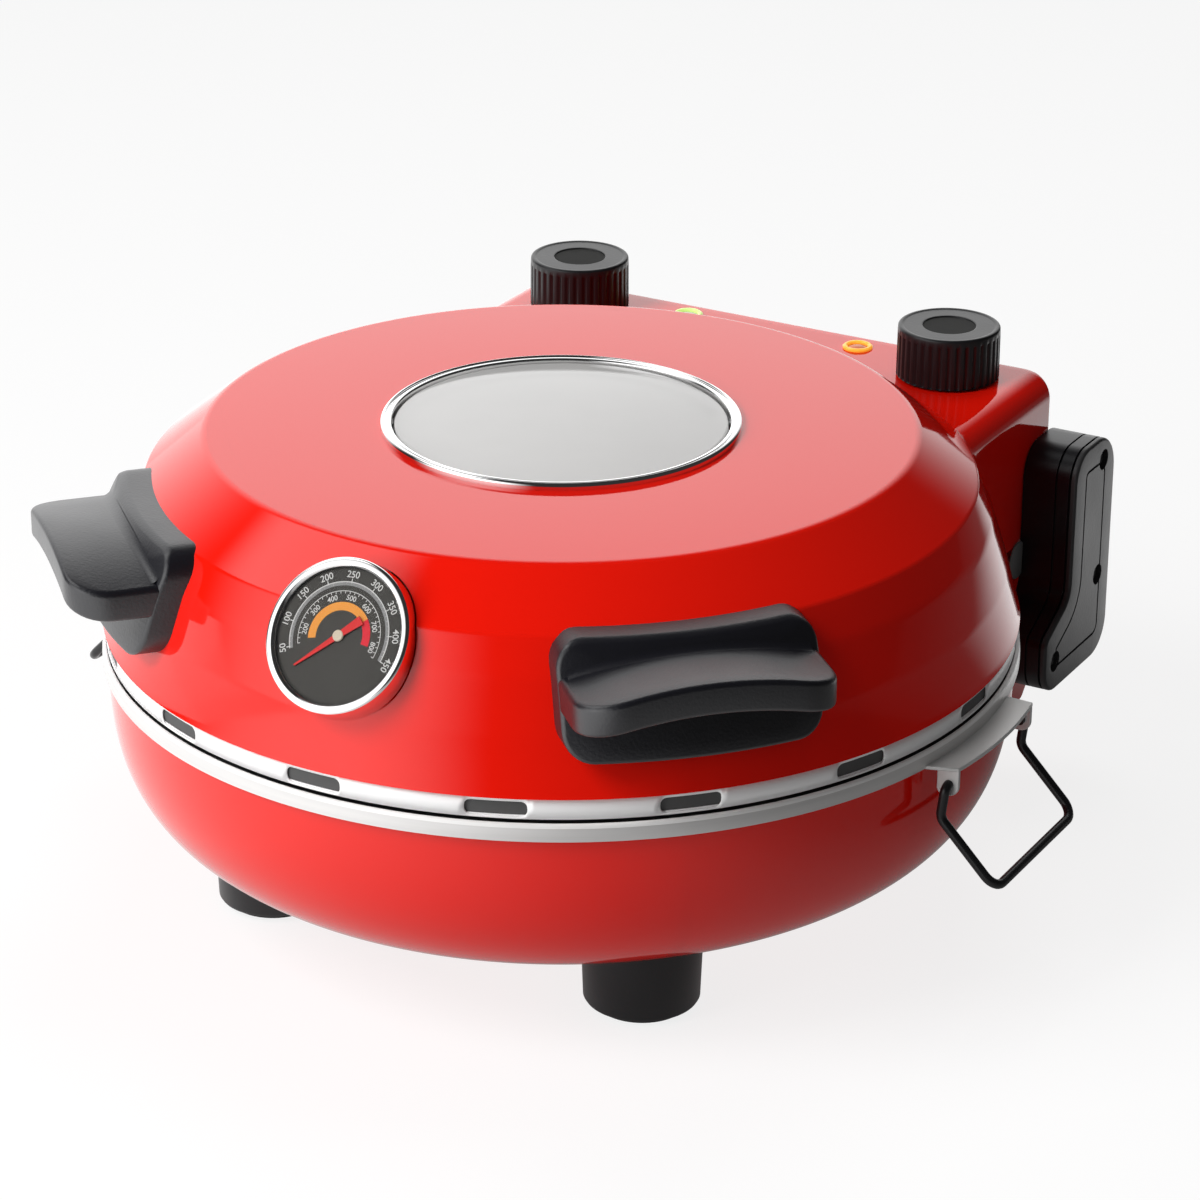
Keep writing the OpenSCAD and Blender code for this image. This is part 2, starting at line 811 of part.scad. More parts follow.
// Steel band under the shell, with vents all round except behind, inside the housing
module lid_band() {
  step = 360 / vent_count;
  vent_h = 5.4;
  inner_r = rim_inner_r - 3;
  color("whitesmoke") place() difference() {
    rotate_extrude() polygon(rounded([
      [inner_r, band_low_z, 0],
      [band_r, band_low_z, 1],
      [band_r, band_top_z, 0],
      [band_r - band_sheet, band_top_z, 0],
      [band_r - band_sheet, band_low_z + band_sheet, 0],
      [inner_r, band_low_z + band_sheet, 0]
    ], 3));
    for (i = [0 : vent_count - 1])
      if (abs(i * step - 180) > 45)
        rotate(i * step - 90) translate([band_r - 6, 0, band_low_z + 4.2])
          rotate([90, 0, 90]) linear_extrude(12) vent_shape(vent_h);
  }
}

module vent_shape(h) {
  half = (vent_length - h) / 2;
  square([2 * half, h], center = true);
  for (x = [-half, half]) translate([x, 0]) circle(d = h, $fn = 32);
}

module upper_liner() {
  low_z = band_low_z + band_sheet;
  wall_r0 = liner_r - 1;
  top_r = 132;
  corner = 14;
  outer = rounded([
    [wall_r0 + 9, low_z, 0],
    [wall_r0 + 9, low_z + liner_sheet, 0],
    [wall_r0, low_z + liner_sheet, 0],
    [top_r + 8, upper_liner_z, corner],
    [window_r - 1.5, upper_liner_z, 0]
  ]);
  inner = rounded([
    [window_r - 1.5, upper_liner_z - liner_sheet, 0],
    [top_r + 8 - liner_sheet, upper_liner_z - liner_sheet, corner - liner_sheet],
    [wall_r0 - liner_sheet, low_z, 0]
  ]);
  color("gainsboro") place() difference() {
    rotate_extrude() polygon(concat(outer, inner));
    for (x = [-leg_x, leg_x])
      translate([x, 120, upper_element_z]) rotate([-90, 0, 0]) cylinder(r = leg_hole_r, h = 40);
    gauge_axis() cylinder(r = 5, h = 120, center = true);
  }
}

module upper_element() {
  color("dimgray") place() element(upper_element_z, 164);
}

module upper_element_clips() {
  color("lightgray") place() element_clips(upper_element_z, upper_liner_z - liner_sheet);
}

module window_ring() {
  top_z = disc_z + 2.5;
  color("silver") place() rotate_extrude() polygon(rounded([
    [window_r, disc_z, 0],
    [window_r, top_z, 2],
    [glass_r + 0.3, top_z, 1.5],
    [glass_r + 0.3, disc_z - 3.4, 0],
    [glass_r + 1.2, disc_z - 3.4, 0],
    [glass_r + 1.2, disc_z, 0]
  ], 5));
}

module window_glass() {
  color("gainsboro", 0.5) place() rotate_extrude() polygon(rounded([
    [0, glass_low_z, 0],
    [glass_r, glass_low_z, 0.8],
    [glass_r, glass_low_z + glass_thick, 1.2],
    [0, glass_low_z + glass_thick, 0]
  ], 3));
}

module window_clamp() {
  color("gray") place() ring(glass_r - 5, glass_r + 0.2, glass_low_z - 1.6, glass_low_z);
}

// Short steel tube that joins the window to the hole in the liner
module window_collar() {
  low_z = upper_liner_z;
  color("gainsboro") place() union() {
    ring(glass_r - 1, glass_r + 0.2, low_z, glass_low_z - 1.6);
    ring(glass_r - 1, window_r + 4, low_z, low_z + 1);
  }
}

// ---- control housing -----------------------------------------------------------------------

// Box with rounded upper edges, pulled in by t
module housing_box(t) {
  half = housing_w / 2 - t;
  back = housing_back - t;
  top = shoulder_z - t;
  intersection() {
    translate([0, 210, 0]) rotate([90, 0, 0]) linear_extrude(200) polygon(rounded([
      [-half, housing_low_z, 0],
      [half, housing_low_z, 0],
      [half, top, housing_edge_r - t],
      [-half, top, housing_edge_r - t]
    ]));
    linear_extrude(200) polygon(rounded([
      [-half, 60, 0],
      [half, 60, 0],
      [half, back, housing_corner_r - t],
      [-half, back, housing_corner_r - t]
    ]));
    rotate([90, 0, 90]) translate([0, 0, -140]) linear_extrude(280) polygon(rounded([
      [60, housing_low_z, 0],
      [back, housing_low_z, 0],
      [back, top, housing_rear_r - t],
      [60, top, 0]
    ], 4));
  }
}

module control_housing() {
  color("red") place() difference() {
    housing_box(0);
    difference() {
      housing_box(housing_wall);
      translate([-150, 0, 0]) cube([300, 300, housing_low_z + housing_wall]);
    }
    lid_solid();
    translate([0, 0, housing_low_z - 1]) cylinder(r = band_r + 1.2, h = band_top_z - housing_low_z + 1);
    for (x = [-knob_x, knob_x])
      translate([x, knob_y, shoulder_z - 8]) cylinder(r = 5, h = 12);
    for (x = [-lamp_x, lamp_x])
      translate([x, lamp_y, shoulder_z - 8]) cylinder(r = lamp_r - 1.4, h = 12);
    for (x = leaf_screw_x)
      translate([x, housing_back - 8, leaf_screw_z]) rotate([-90, 0, 0]) cylinder(r = 2, h = 12);
    leaf_slot();
  }
}

// Gap in the housing's floor for the strip and its knuckle
module leaf_slot() {
  half = housing_w / 2 - 1;
  translate([-half, hinge_y - knuckle_r - 1, housing_low_z - 1])
    cube([2 * half, housing_back - housing_wall - hinge_y + knuckle_r + 1, housing_wall + 2]);
}

// Body of a rotary thermostat with its threaded neck and nut
module thermostat(x) {
  neck_r = 5;
  panel_z = shoulder_z - housing_wall;
  color("dimgray") place() translate([x, knob_y, 0]) difference() {
    union() {
      translate([-14, -10, panel_z - 24]) cube([28, 26, 24 - 1]);
      translate([0, 0, panel_z - 2]) cylinder(r = 9, h = 2);
      translate([0, 0, panel_z]) cylinder(r = neck_r, h = knob_low_z + 2.4 - panel_z);
      for (s = [-1, 1]) translate([s * 8 - 2, -7, panel_z - 31]) cube([4, 0.8, 8]);
    }
    translate([0, 0, panel_z - 12]) cylinder(r = 3.05, h = 40);
  }
}

module thermostat_left() {
  thermostat(-knob_x);
}

module thermostat_right() {
  thermostat(knob_x);
}

module knob(x) {
  rib_w = 1.5;
  rib_deep = 0.7;
  top = knob_low_z + knob_h;
  bevel = 1.2;
  dish_r = 10.2;
  skirt = 4.2;
  color("black") place() translate([x, knob_y, 0]) difference() {
    rotate_extrude() polygon([
      [0, knob_low_z + 5],
      [15, knob_low_z + 5],
      [15, knob_low_z],
      [knob_r, knob_low_z],
      [knob_r - 0.2, top - bevel],
      [knob_r - bevel, top],
      [dish_r, top],
      [dish_r - 0.6, top - 1.2],
      [0, top - 1.2]
    ]);
    for (i = [0 : knob_ribs - 1])
      rotate((i + 0.5) * 360 / knob_ribs)
        translate([knob_r - rib_deep, -rib_w / 2, knob_low_z - 1])
          cube([3, rib_w, knob_h - skirt + 1]);
    translate([0, 0, knob_low_z - 1]) cylinder(r = 3, h = 15);
  }
}

module knob_left() {
  knob(-knob_x);
}

module knob_right() {
  knob(knob_x);
}

module knob_shaft(x) {
  low = shoulder_z - housing_wall - 11;
  color("silver") place() translate([x, knob_y, low])
    cylinder(r = 3, h = knob_low_z + 14 - low);
}

module knob_shaft_left() {
  knob_shaft(-knob_x);
}

module knob_shaft_right() {
  knob_shaft(knob_x);
}

// Lens with a raised lit ring round a sunk middle
module lamp(x) {
  translate([x, lamp_y, 0]) rotate_extrude() polygon([
    [0, shoulder_z - 6],
    [lamp_r - 1.4, shoulder_z - 6],
    [lamp_r - 1.4, shoulder_z],
    [lamp_r, shoulder_z],
    [lamp_r, shoulder_z + 0.7],
    [lamp_r - 0.7, shoulder_z + 1.3],
    [lamp_r - 2.2, shoulder_z + 1.3],
    [lamp_r - 2.9, shoulder_z + 0.6],
    [0, shoulder_z + 0.6]
  ]);
}

module lamp_green() {
  color("lime") place() lamp(-lamp_x);
}

module lamp_orange() {
  color("orange") place() lamp(lamp_x);
}

module lamp_sockets() {
  color("dimgray") place() for (x = [-lamp_x, lamp_x])
    translate([x, lamp_y, shoulder_z - 22]) {
      translate([0, 0, 6]) cylinder(r = 5.4, h = 10);
      for (s = [-2, 2]) translate([s - 0.4, -1.5, 0]) cube([0.8, 3, 7]);
    }
}

// ---- thermometer ---------------------------------------------------------------------------

// Puts its children on the dial's axis, with z along the way the dial looks
module gauge_axis() {
  translate(gauge_face) rotate([90 - gauge_tilt, 0, 0]) children();
}

module gauge_case() {
  deep = 13;
  color("silver") place() gauge_axis() rotate_extrude() polygon([
    [0, -deep],
    [gauge_r - 4.6, -deep],
    [gauge_r - 4.6, -5],
    [gauge_r - 1, -5],
    [gauge_r, -3.6],
    [gauge_r, 0.6],
    [gauge_r - 1, 1.8],
    [gauge_r - 2, 1.8],
    [gauge_r - 3.3, 1.2],
    [gauge_r - 3.3, dial_top - dial_sheet],
    [gauge_r - 6, dial_top - dial_sheet],
    [gauge_r - 6, -deep + 1.2],
    [0, -deep + 1.2]
  ]);
}

module gauge_dial() {
  color("dimgray") place() gauge_axis() difference() {
    translate([0, 0, dial_top - dial_sheet]) cylinder(r = gauge_r - 3.5, h = dial_sheet);
    translate([0, 0, -6]) cylinder(r = 1.6, h = 6);
  }
}

module gauge_glass() {
  color("white", 0.3) place() gauge_axis()
    translate([0, 0, 0.8]) cylinder(r = gauge_r - 3.4, h = 0.6);
}

// Stem that reaches into the cooking space, with the nut that holds the gauge
module gauge_probe() {
  color("silver") place() gauge_axis() {
    translate([0, 0, -50]) cylinder(r = 2.4, h = 37);
    difference() {
      translate([0, 0, -17]) cylinder(r = 8, h = 4, $fn = 6);
      translate([0, 0, -20]) cylinder(r = 2.4, h = 10);
    }
  }
}

// Tapered pointer on a small hub, at the low end of the scale
module gauge_needle() {
  rest_angle = 225;
  color("crimson") place() gauge_axis() rotate(rest_angle) {
    translate([0, 0, dial_top + 0.5]) linear_extrude(0.4) polygon([
      [-9.8, -1.65],
      [-9.8, 1.65],
      [-3, 1.2],
      [18.6, 0.3],
      [18.6, -0.3],
      [-3, -1.2]
    ]);
    translate([0, 0, dial_top + 0.1]) cylinder(r = 2, h = 1);
    translate([0, 0, -9]) cylinder(r = 0.8, h = 9);
  }
}

// ---- grips ---------------------------------------------------------------------------------

// One grip drawn at the front and then turned to its angle
module grip(angle) {
  half = grip_length / 2;
  sector = asin(half / 150) + 2;
  below_z = grip_low_z - 3;
  above_z = grip_top_z + 1;
  shoulder_slope = (shoulder_r - disc_r) / (disc_z - shoulder_z);
  front_top_r = shoulder_r + grip_plate - (above_z - shoulder_z) * shoulder_slope;
  inner_r = 138;
  color("black") place() rotate(angle) difference() {
    union() {
      intersection() {
        rotate(-90 - sector) rotate_extrude(angle = 2 * sector) polygon(concat(
          wall_points(below_z, shoulder_z, grip_plate),
          [[front_top_r, above_z], [inner_r, above_z], [inner_r, below_z]]
        ));
        translate([0, -100, 0]) rotate([90, 0, 0]) linear_extrude(120) polygon(rounded([
          [-half, grip_low_z, 10],
          [half, grip_low_z, 10],
          [half, grip_top_z, 10],
          [-half, grip_top_z, 10]
        ]));
      }
      grip_shelf(half);
    }
    lid_solid();
    for (x = grip_screw_x)
      translate([x, -100, grip_screw_z]) rotate([90, 0, 0]) cylinder(r = 2, h = 74);
  }
}

// Slab with round outer corners, arched so that its middle stands higher than its ends
module grip_shelf(half) {
  corner_r = 15;
  from_y = 130;
  intersection() {
    translate([0, 0, grip_low_z]) linear_extrude(grip_top_z - grip_low_z) polygon(rounded([
      [-half, -grip_reach, corner_r],
      [half, -grip_reach, corner_r],
      [half, -from_y, 0],
      [-half, -from_y, 0]
    ]));
    translate([0, -from_y + 10, shelf_arch_z]) rotate([90, 0, 0]) difference() {
      cylinder(r = shelf_arch_r, h = 80);
      translate([0, 0, -1]) cylinder(r = shelf_arch_r - grip_thick, h = 82);
    }
  }
}

grip_screw_x = [-28, 28];
grip_screw_z = shelf_arch_z + sqrt(pow(shelf_arch_r - grip_thick / 2, 2) - pow(28, 2));

module grip_screw_places() {
  for (a = [front_turn - grip_angle, front_turn + grip_angle]) rotate(a) for (x = grip_screw_x)
    translate([x, 0, grip_screw_z]) rotate([90, 0, 0]) children();
}

module grip_left() {
  grip(front_turn - grip_angle);
}

module grip_right() {
  grip(front_turn + grip_angle);
}

module grip_screws() {
  head_y = 149.5;
  color("silver") place() grip_screw_places() {
    translate([0, 0, head_y]) cylinder(r = 2, h = 174 - head_y);
    translate([0, 0, head_y - 2.5]) cylinder(r = 4, h = 2.5);
  }
}

// ---- what is drawn -------------------------------------------------------------------------

base_bowl();
base_rim();
lower_liner();
lower_element();
lower_element_clips();
pizza_stone();
bottom_cover();
foot_front_left();
foot_front_right();
foot_rear_left();
foot_rear_right();
foot_pads();
foot_screws();
base_block();
rear_cover();
rear_cover_screws();
cord_gland();
terminal_block();
arm_left();
arm_right();
arm_cover_left();
arm_cover_right();
arm_cover_screws();
arm_anchor_bolts();
hinge_shaft();
side_bracket_left();
side_bracket_right();
bail_left();
bail_right();
lid_bumpers();
lid_shell();
lid_band();
upper_liner();
upper_element();
upper_element_clips();
window_ring();
window_glass();
window_clamp();
window_collar();
control_housing();
hinge_leaf();
leaf_screws();
thermostat_left();
thermostat_right();
knob_left();
knob_right();
knob_shaft_left();
knob_shaft_right();
lamp_green();
lamp_orange();
lamp_sockets();
gauge_case();
gauge_dial();
gauge_glass();
gauge_probe();
gauge_needle();
grip_left();
grip_right();
grip_screws();
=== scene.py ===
"""The looks of a round red countertop pizza oven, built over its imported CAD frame.

Sizes are in millimetres about the bowl's axis (x right, y back, z up from the table) and are
turned into the frame's metres in one place, to_frame().
"""

import json
from math import acos, atan2, ceil, cos, degrees, hypot, pi, radians, sin, sqrt, tan

import bpy
from mathutils import Matrix, Vector


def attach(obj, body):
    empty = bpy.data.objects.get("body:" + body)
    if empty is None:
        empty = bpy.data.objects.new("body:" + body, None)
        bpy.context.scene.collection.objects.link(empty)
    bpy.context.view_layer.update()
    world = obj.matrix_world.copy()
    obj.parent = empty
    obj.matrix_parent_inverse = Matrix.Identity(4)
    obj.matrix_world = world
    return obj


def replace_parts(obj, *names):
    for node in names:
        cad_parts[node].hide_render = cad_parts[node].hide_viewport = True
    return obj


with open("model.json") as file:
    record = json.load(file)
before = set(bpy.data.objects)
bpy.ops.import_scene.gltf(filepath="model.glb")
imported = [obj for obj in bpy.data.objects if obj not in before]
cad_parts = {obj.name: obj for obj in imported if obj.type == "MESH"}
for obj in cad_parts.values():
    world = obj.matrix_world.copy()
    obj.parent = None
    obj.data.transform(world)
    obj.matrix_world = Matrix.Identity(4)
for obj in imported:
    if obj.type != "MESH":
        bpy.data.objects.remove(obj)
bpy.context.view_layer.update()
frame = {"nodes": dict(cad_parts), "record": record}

MM = 0.001
AXIS_Y = -9.5  # the bowl's axis, in front of the frame's origin


def to_frame(p):
    return Vector((p[0] * MM, (p[1] + AXIS_Y) * MM, p[2] * MM))


# ---- camera --------------------------------------------------------------------------------

CAMERA_AT = (685.4, -1187.1, 709.1)
CAMERA_AZIMUTH = 30.0
CAMERA_TILT = 23.94
LENS_MM = 120.95
SENSOR_MM = 36.0

camera_data = bpy.data.cameras.new("camera")
camera_data.lens = LENS_MM
camera_data.sensor_width = SENSOR_MM
camera_data.shift_x = 0.03225
camera_data.shift_y = 0.0176
camera_data.clip_end = 50
camera = bpy.data.objects.new("camera", camera_data)
bpy.context.scene.collection.objects.link(camera)
camera.location = to_frame(CAMERA_AT)
camera.rotation_euler = (radians(90 - CAMERA_TILT), 0, radians(CAMERA_AZIMUTH))
bpy.context.scene.camera = camera

# ---- driving sizes -------------------------------------------------------------------------

RIM_R = 170.0
RIM_LOW, RIM_TOP = 94.6, 101.3
BOWL_R, BOWL_TOP, BOWL_BOTTOM = 168.0, 94.0, 25.0
BOWL_FLAT_R = 92.0
BOWL_CURVE = 2.84
BAND_R, BAND_LOW, BAND_TOP = 168.3, 102.7, 110.5
DISC_R, DISC_Z = 130.0, 179.5
SHOULDER_R, SHOULDER_Z = 152.0, 162.5
WALL_LINE = [  # height, radius
    (BAND_TOP, 169.3),
    (BAND_TOP + 2.2, 168.4),
    (130.6, 163.8),
    (149.5, 158.0),
    (SHOULDER_Z, SHOULDER_R),
    (DISC_Z, DISC_R),
]
WINDOW_R = 65.9
VENT_STEP = 22.5
VENT_LENGTH, VENT_LOW, VENT_HIGH = 21.5, 103.5, 109.1

HOUSING_HALF, HOUSING_BACK, HOUSING_LOW = 117.0, 180.0, 104.5
KNOB_X, KNOB_Y, KNOB_R, KNOB_LOW, KNOB_H = 82.0, 157.0, 19.9, 163.3, 20.2
KNOB_RIBS = 36
LAMP_X, LAMP_Y, LAMP_R = 38.0, 168.0, 5.9

ARM_IN, ARM_SPLIT, ARM_OUT = 117.5, 136.8, 139.5
ARM_LOW, ARM_TOP = 47.5, 140.6
ARM_TOE, ARM_FRONT, ARM_BACK = 132.0, 153.5, 192.0
ARM_SCREWS = [(180.0, 131.0), (180.0, 82.5), (141.5, 60.0)]  # distance back, height

GRIP_ANGLES = {"left": -42.9, "right": 45.5}
GRIP_HALF, GRIP_LOW, GRIP_TOP, GRIP_PLATE = 45.5, 125.5, 164.7, 9.5
SHELF_TOP, SHELF_THICK, SHELF_REACH, SHELF_ARCH_R = 159.5, 11.3, 190.5, 160.0

GAUGE_AT = (4.5, -157.1, 156.5)
GAUGE_R, GAUGE_TILT = 27.1, 34.0
DIAL_TOP = -0.4

PIVOT_X, PIVOT_Z, EAR_Y = 173.5, 89.0, 31.3
WIRE_R = 1.75
FOOT_REACH, FOOT_R = 111.0, 21.0
FOOT_ANGLES = {"front_left": -135, "front_right": -45, "rear_left": 135, "rear_right": 45}

# ---- materials -----------------------------------------------------------------------------


GRAIN_SCALE, GRAIN_HEIGHT = 900.0, 0.0004


def material(name, colour, rough, metal=0.0, vary=0.06, scale=40.0, rough_vary=0.05,
             bump=0.0, ior=1.45, stretch=(1, 1, 1), alpha=1.0):
    """A principled finish whose colour and roughness drift a little with a noise pattern."""
    mat = bpy.data.materials.new(name)
    mat.use_nodes = True
    nodes, links = mat.node_tree.nodes, mat.node_tree.links
    shader = nodes["Principled BSDF"]
    shader.inputs["Metallic"].default_value = metal
    shader.inputs["IOR"].default_value = ior
    shader.inputs["Alpha"].default_value = alpha
    where = nodes.new("ShaderNodeTexCoord")
    spread = nodes.new("ShaderNodeMapping")
    spread.inputs["Scale"].default_value = stretch
    links.new(where.outputs["Object"], spread.inputs["Vector"])
    noise = nodes.new("ShaderNodeTexNoise")
    noise.inputs["Scale"].default_value = scale
    noise.inputs["Detail"].default_value = 3
    links.new(spread.outputs["Vector"], noise.inputs["Vector"])
    tint = nodes.new("ShaderNodeMix")
    tint.data_type = "RGBA"
    dark = [c * (1 - vary) for c in colour] + [1]
    light = [min(1, c * (1 + vary)) for c in colour] + [1]
    tint.inputs[6].default_value = dark
    tint.inputs[7].default_value = light
    links.new(noise.outputs["Fac"], tint.inputs[0])
    links.new(tint.outputs[2], shader.inputs["Base Color"])
    spreader = nodes.new("ShaderNodeMapRange")
    spreader.inputs["To Min"].default_value = max(0.0, rough - rough_vary)
    spreader.inputs["To Max"].default_value = rough + rough_vary
    links.new(noise.outputs["Fac"], spreader.inputs["Value"])
    links.new(spreader.outputs["Result"], shader.inputs["Roughness"])
    if bump:
        grain = nodes.new("ShaderNodeTexNoise")
        grain.inputs["Scale"].default_value = GRAIN_SCALE
        grain.inputs["Detail"].default_value = 2
        links.new(spread.outputs["Vector"], grain.inputs["Vector"])
        relief = nodes.new("ShaderNodeBump")
        relief.inputs["Strength"].default_value = bump
        relief.inputs["Distance"].default_value = GRAIN_HEIGHT
        links.new(grain.outputs["Fac"], relief.inputs["Height"])
        links.new(relief.outputs["Normal"], shader.inputs["Normal"])
    return mat


def lit(mat, colour, strength):
    """Lets a finish glow in a colour."""
    shader = mat.node_tree.nodes["Principled BSDF"]
    shader.inputs["Emission Color"].default_value = (*colour, 1)
    shader.inputs["Emission Strength"].default_value = strength
    return mat


FINISH = {
    "red_enamel": material("red_enamel", (0.82, 0.008, 0.002), 0.07, vary=0.02, scale=6,
                           rough_vary=0.02, ior=1.5),
    "rim_steel": material("rim_steel", (0.74, 0.73, 0.72), 0.36, metal=0.6, vary=0.1, scale=12,
                          stretch=(1, 1, 40)),
    "band_steel": material("band_steel", (0.95, 0.95, 0.95), 0.4, metal=0.15, vary=0.03, scale=30,
                           stretch=(1, 1, 30)),
    "liner_steel": material("liner_steel", (0.74, 0.74, 0.75), 0.3, metal=1, scale=20),
    "element_tube": material("element_tube", (0.10, 0.095, 0.09), 0.45, metal=0.6, vary=0.25, scale=60),
    "fitting_steel": material("fitting_steel", (0.6, 0.6, 0.6), 0.3, metal=1, scale=60),
    "stone": material("stone", (0.66, 0.55, 0.40), 0.85, vary=0.16, scale=180, bump=0.5),
    "foot_black": material("foot_black", (0.008, 0.008, 0.009), 0.38, vary=0.15, bump=0.05),
    "pad_rubber": material("pad_rubber", (0.02, 0.02, 0.02), 0.7, vary=0.2, bump=0.2),
    "arm_black": material("arm_black", (0.003, 0.003, 0.004), 0.35, vary=0.15, bump=0.05),
    "cover_grey": material("cover_grey", (0.030, 0.030, 0.031), 0.38, vary=0.08, bump=0.15),
    "dark_sheet": material("dark_sheet", (0.02, 0.02, 0.02), 0.45, vary=0.1),
    "grip_charcoal": material("grip_charcoal", (0.006, 0.006, 0.009), 0.36, vary=0.08, bump=0.2,
                              ior=1.8),
    "knob_black": material("knob_black", (0.010, 0.010, 0.011), 0.36, vary=0.1, bump=0.1),
    "chrome": material("chrome", (0.9, 0.9, 0.9), 0.08, metal=1, vary=0.02, rough_vary=0.02),
    # the glass's pale grey, mostly opaque colour and its soft pale patches are a painted reflection of
    # the bright room and of the lit inside seen through it
    "window_glass": material("window_glass", (0.72, 0.71, 0.70), 0.06, vary=0.05, scale=22,
                             alpha=0.8),
    "clear_glass": material("clear_glass", (0.02, 0.02, 0.02), 0.03, vary=0.02, rough_vary=0.01,
                            alpha=0.10),
    # the dial's dark colour drifts strongly in tone; that drift is a painted soft reflection in its
    # glass
    "dial_face": material("dial_face", (0.050, 0.047, 0.042), 0.5, vary=0.35, scale=30),
    "needle_red": material("needle_red", (0.75, 0.03, 0.03), 0.4, vary=0.05),
    "lamp_green": lit(material("lamp_green", (0.62, 0.80, 0.28), 0.2), (0.55, 0.8, 0.2), 0.5),
    "lamp_orange": lit(material("lamp_orange", (1.0, 0.48, 0.06), 0.2), (1.0, 0.42, 0.04), 0.5),
    "bracket_steel": material("bracket_steel", (0.68, 0.68, 0.67), 0.42, metal=0.5, vary=0.05),
    "wire_black": material("wire_black", (0.012, 0.012, 0.013), 0.3, vary=0.1),
    "ceramic_white": material("ceramic_white", (0.8, 0.78, 0.7), 0.3),
    "switch_body": material("switch_body", (0.05, 0.05, 0.05), 0.5),
}
PRINT_WHITE = material("print_white", (0.75, 0.75, 0.73), 0.5, vary=0.04)
PRINT_GREY = material("print_grey", (0.3, 0.3, 0.3), 0.5, vary=0.05)
PRINT_ORANGE = material("print_orange", (0.95, 0.38, 0.07), 0.5, vary=0.05)
PRINT_RED = material("print_red", (0.8, 0.03, 0.05), 0.5, vary=0.05)
# painted shade: the dark grey of the ring behind the vents, which makes the openings look dark
VENT_SHADE_GREY = material("vent_shade_grey", (0.075, 0.075, 0.075), 0.6, vary=0.1, scale=300)
WASHER_GREY = material("washer_grey", (0.16, 0.16, 0.16), 0.5, vary=0.1)
LENS_ORANGE = material("lens_orange", (0.75, 0.16, 0.03), 0.15, vary=0.05)
LENS_GREEN = material("lens_green", (0.62, 0.72, 0.45), 0.15, vary=0.05)
KNOB_DISH = material("knob_dish", (0.022, 0.022, 0.021), 0.8, vary=0.1)
# painted highlight: a whiter, barely metallic copy of the rim's steel, laid on its top edge
PAINTED_HIGHLIGHT_WHITE = material("painted_highlight_white", (0.9, 0.89, 0.88), 0.4, metal=0.1, vary=0.05)
HUB_CREAM = material("hub_cream", (0.75, 0.65, 0.5), 0.4, vary=0.05)

# every piece that is carried over from the frame gets its slot's finish
node_slots = {s["node"]: s["material_slot"] for s in frame["record"]["subparts"]}
for node_name, node_object in frame["nodes"].items():
    node_object.data.materials.clear()
    node_object.data.materials.append(FINISH[node_slots[node_name]])

# ---- mesh helpers --------------------------------------------------------------------------


def piece(name, verts, faces, slot, body, stands_for=(), finish=None, sharp=38):
    """Makes one mesh from millimetre points and lets it ride on a body."""
    mesh = bpy.data.meshes.new(name)
    mesh.from_pydata([to_frame(v) for v in verts], [], faces)
    mesh.validate()
    mesh.update()
    obj = bpy.data.objects.new(name, mesh)
    bpy.context.scene.collection.objects.link(obj)
    mesh.materials.append(finish or FINISH[slot])
    mesh.shade_smooth()
    mesh.set_sharp_from_angle(angle=radians(sharp))
    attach(obj, body)
    if stands_for:
        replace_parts(obj, *stands_for)
    return obj


def corner(p0, p1, p2, r, steps):
    """Points of the arc of radius r that rounds the corner at p1."""
    a, b = (Vector(p0) - Vector(p1)).normalized(), (Vector(p2) - Vector(p1)).normalized()
    half = acos(max(-1, min(1, a.dot(b)))) / 2
    if r <= 0 or half > pi / 2 - 1e-4:
        return [tuple(p1)] * (steps + 1)
    centre = Vector(p1) + (a + b).normalized() * (r / sin(half))
    start = Vector(p1) + a * (r / tan(half)) - centre
    finish = Vector(p1) + b * (r / tan(half)) - centre
    turn = atan2(start.x * finish.y - start.y * finish.x, start.dot(finish))
    first = atan2(start.y, start.x)
    return [(centre.x + r * cos(first + turn * i / steps),
             centre.y + r * sin(first + turn * i / steps)) for i in range(steps + 1)]


def rounded(corners, steps=8):
    """Closed outline from corners (x, y, radius)."""
    out, n = [], len(corners)
    for i, (x, y, r) in enumerate(corners):
        before, after = corners[i - 1][:2], corners[(i + 1) % n][:2]
        out += [(x, y)] if r == 0 else corner(before, (x, y), after, r, steps)
    return out


def revolve(name, profile, slot, body, stands_for=(), closed=True, steps=240, place=None, **more):
    """Turns a profile of (radius, height) round the bowl's axis, or round place()'s own axis."""
    place = place or (lambda p: p)
    verts, faces, n = [], [], len(profile)
    for i in range(steps):
        a = 2 * pi * i / steps
        verts += [place((r * cos(a), r * sin(a), z)) for r, z in profile]
    for i in range(steps):
        j = (i + 1) % steps
        for k in range(n if closed else n - 1):
            m = (k + 1) % n
            if profile[k][0] < 1e-6 and profile[m][0] < 1e-6:
                continue
            faces.append((i * n + k, j * n + k, j * n + m, i * n + m))
    obj = piece(name, verts, faces, slot, body, stands_for, **more)
    if min(r for r, z in profile) < 1e-6:
        weld(obj)
    return obj


def weld(obj):
    """Joins points that fall together, such as those on an axis."""
    join = obj.modifiers.new("weld", "WELD")
    join.merge_threshold = 1e-6


def skin(name, loops, slot, body, stands_for=(), cap_first=True, cap_last=True, **more):
    """Joins closed loops of equal length, one after another, and caps the ends."""
    n = len(loops[0])
    verts = [p for loop in loops for p in loop]
    faces = [(k * n + i, k * n + (i + 1) % n, (k + 1) * n + (i + 1) % n, (k + 1) * n + i)
             for k in range(len(loops) - 1) for i in range(n)]
    if cap_first:
        faces.append(tuple(reversed(range(n))))
    if cap_last:
        faces.append(tuple(range((len(loops) - 1) * n, len(loops) * n)))
    return piece(name, verts, faces, slot, body, stands_for, **more)


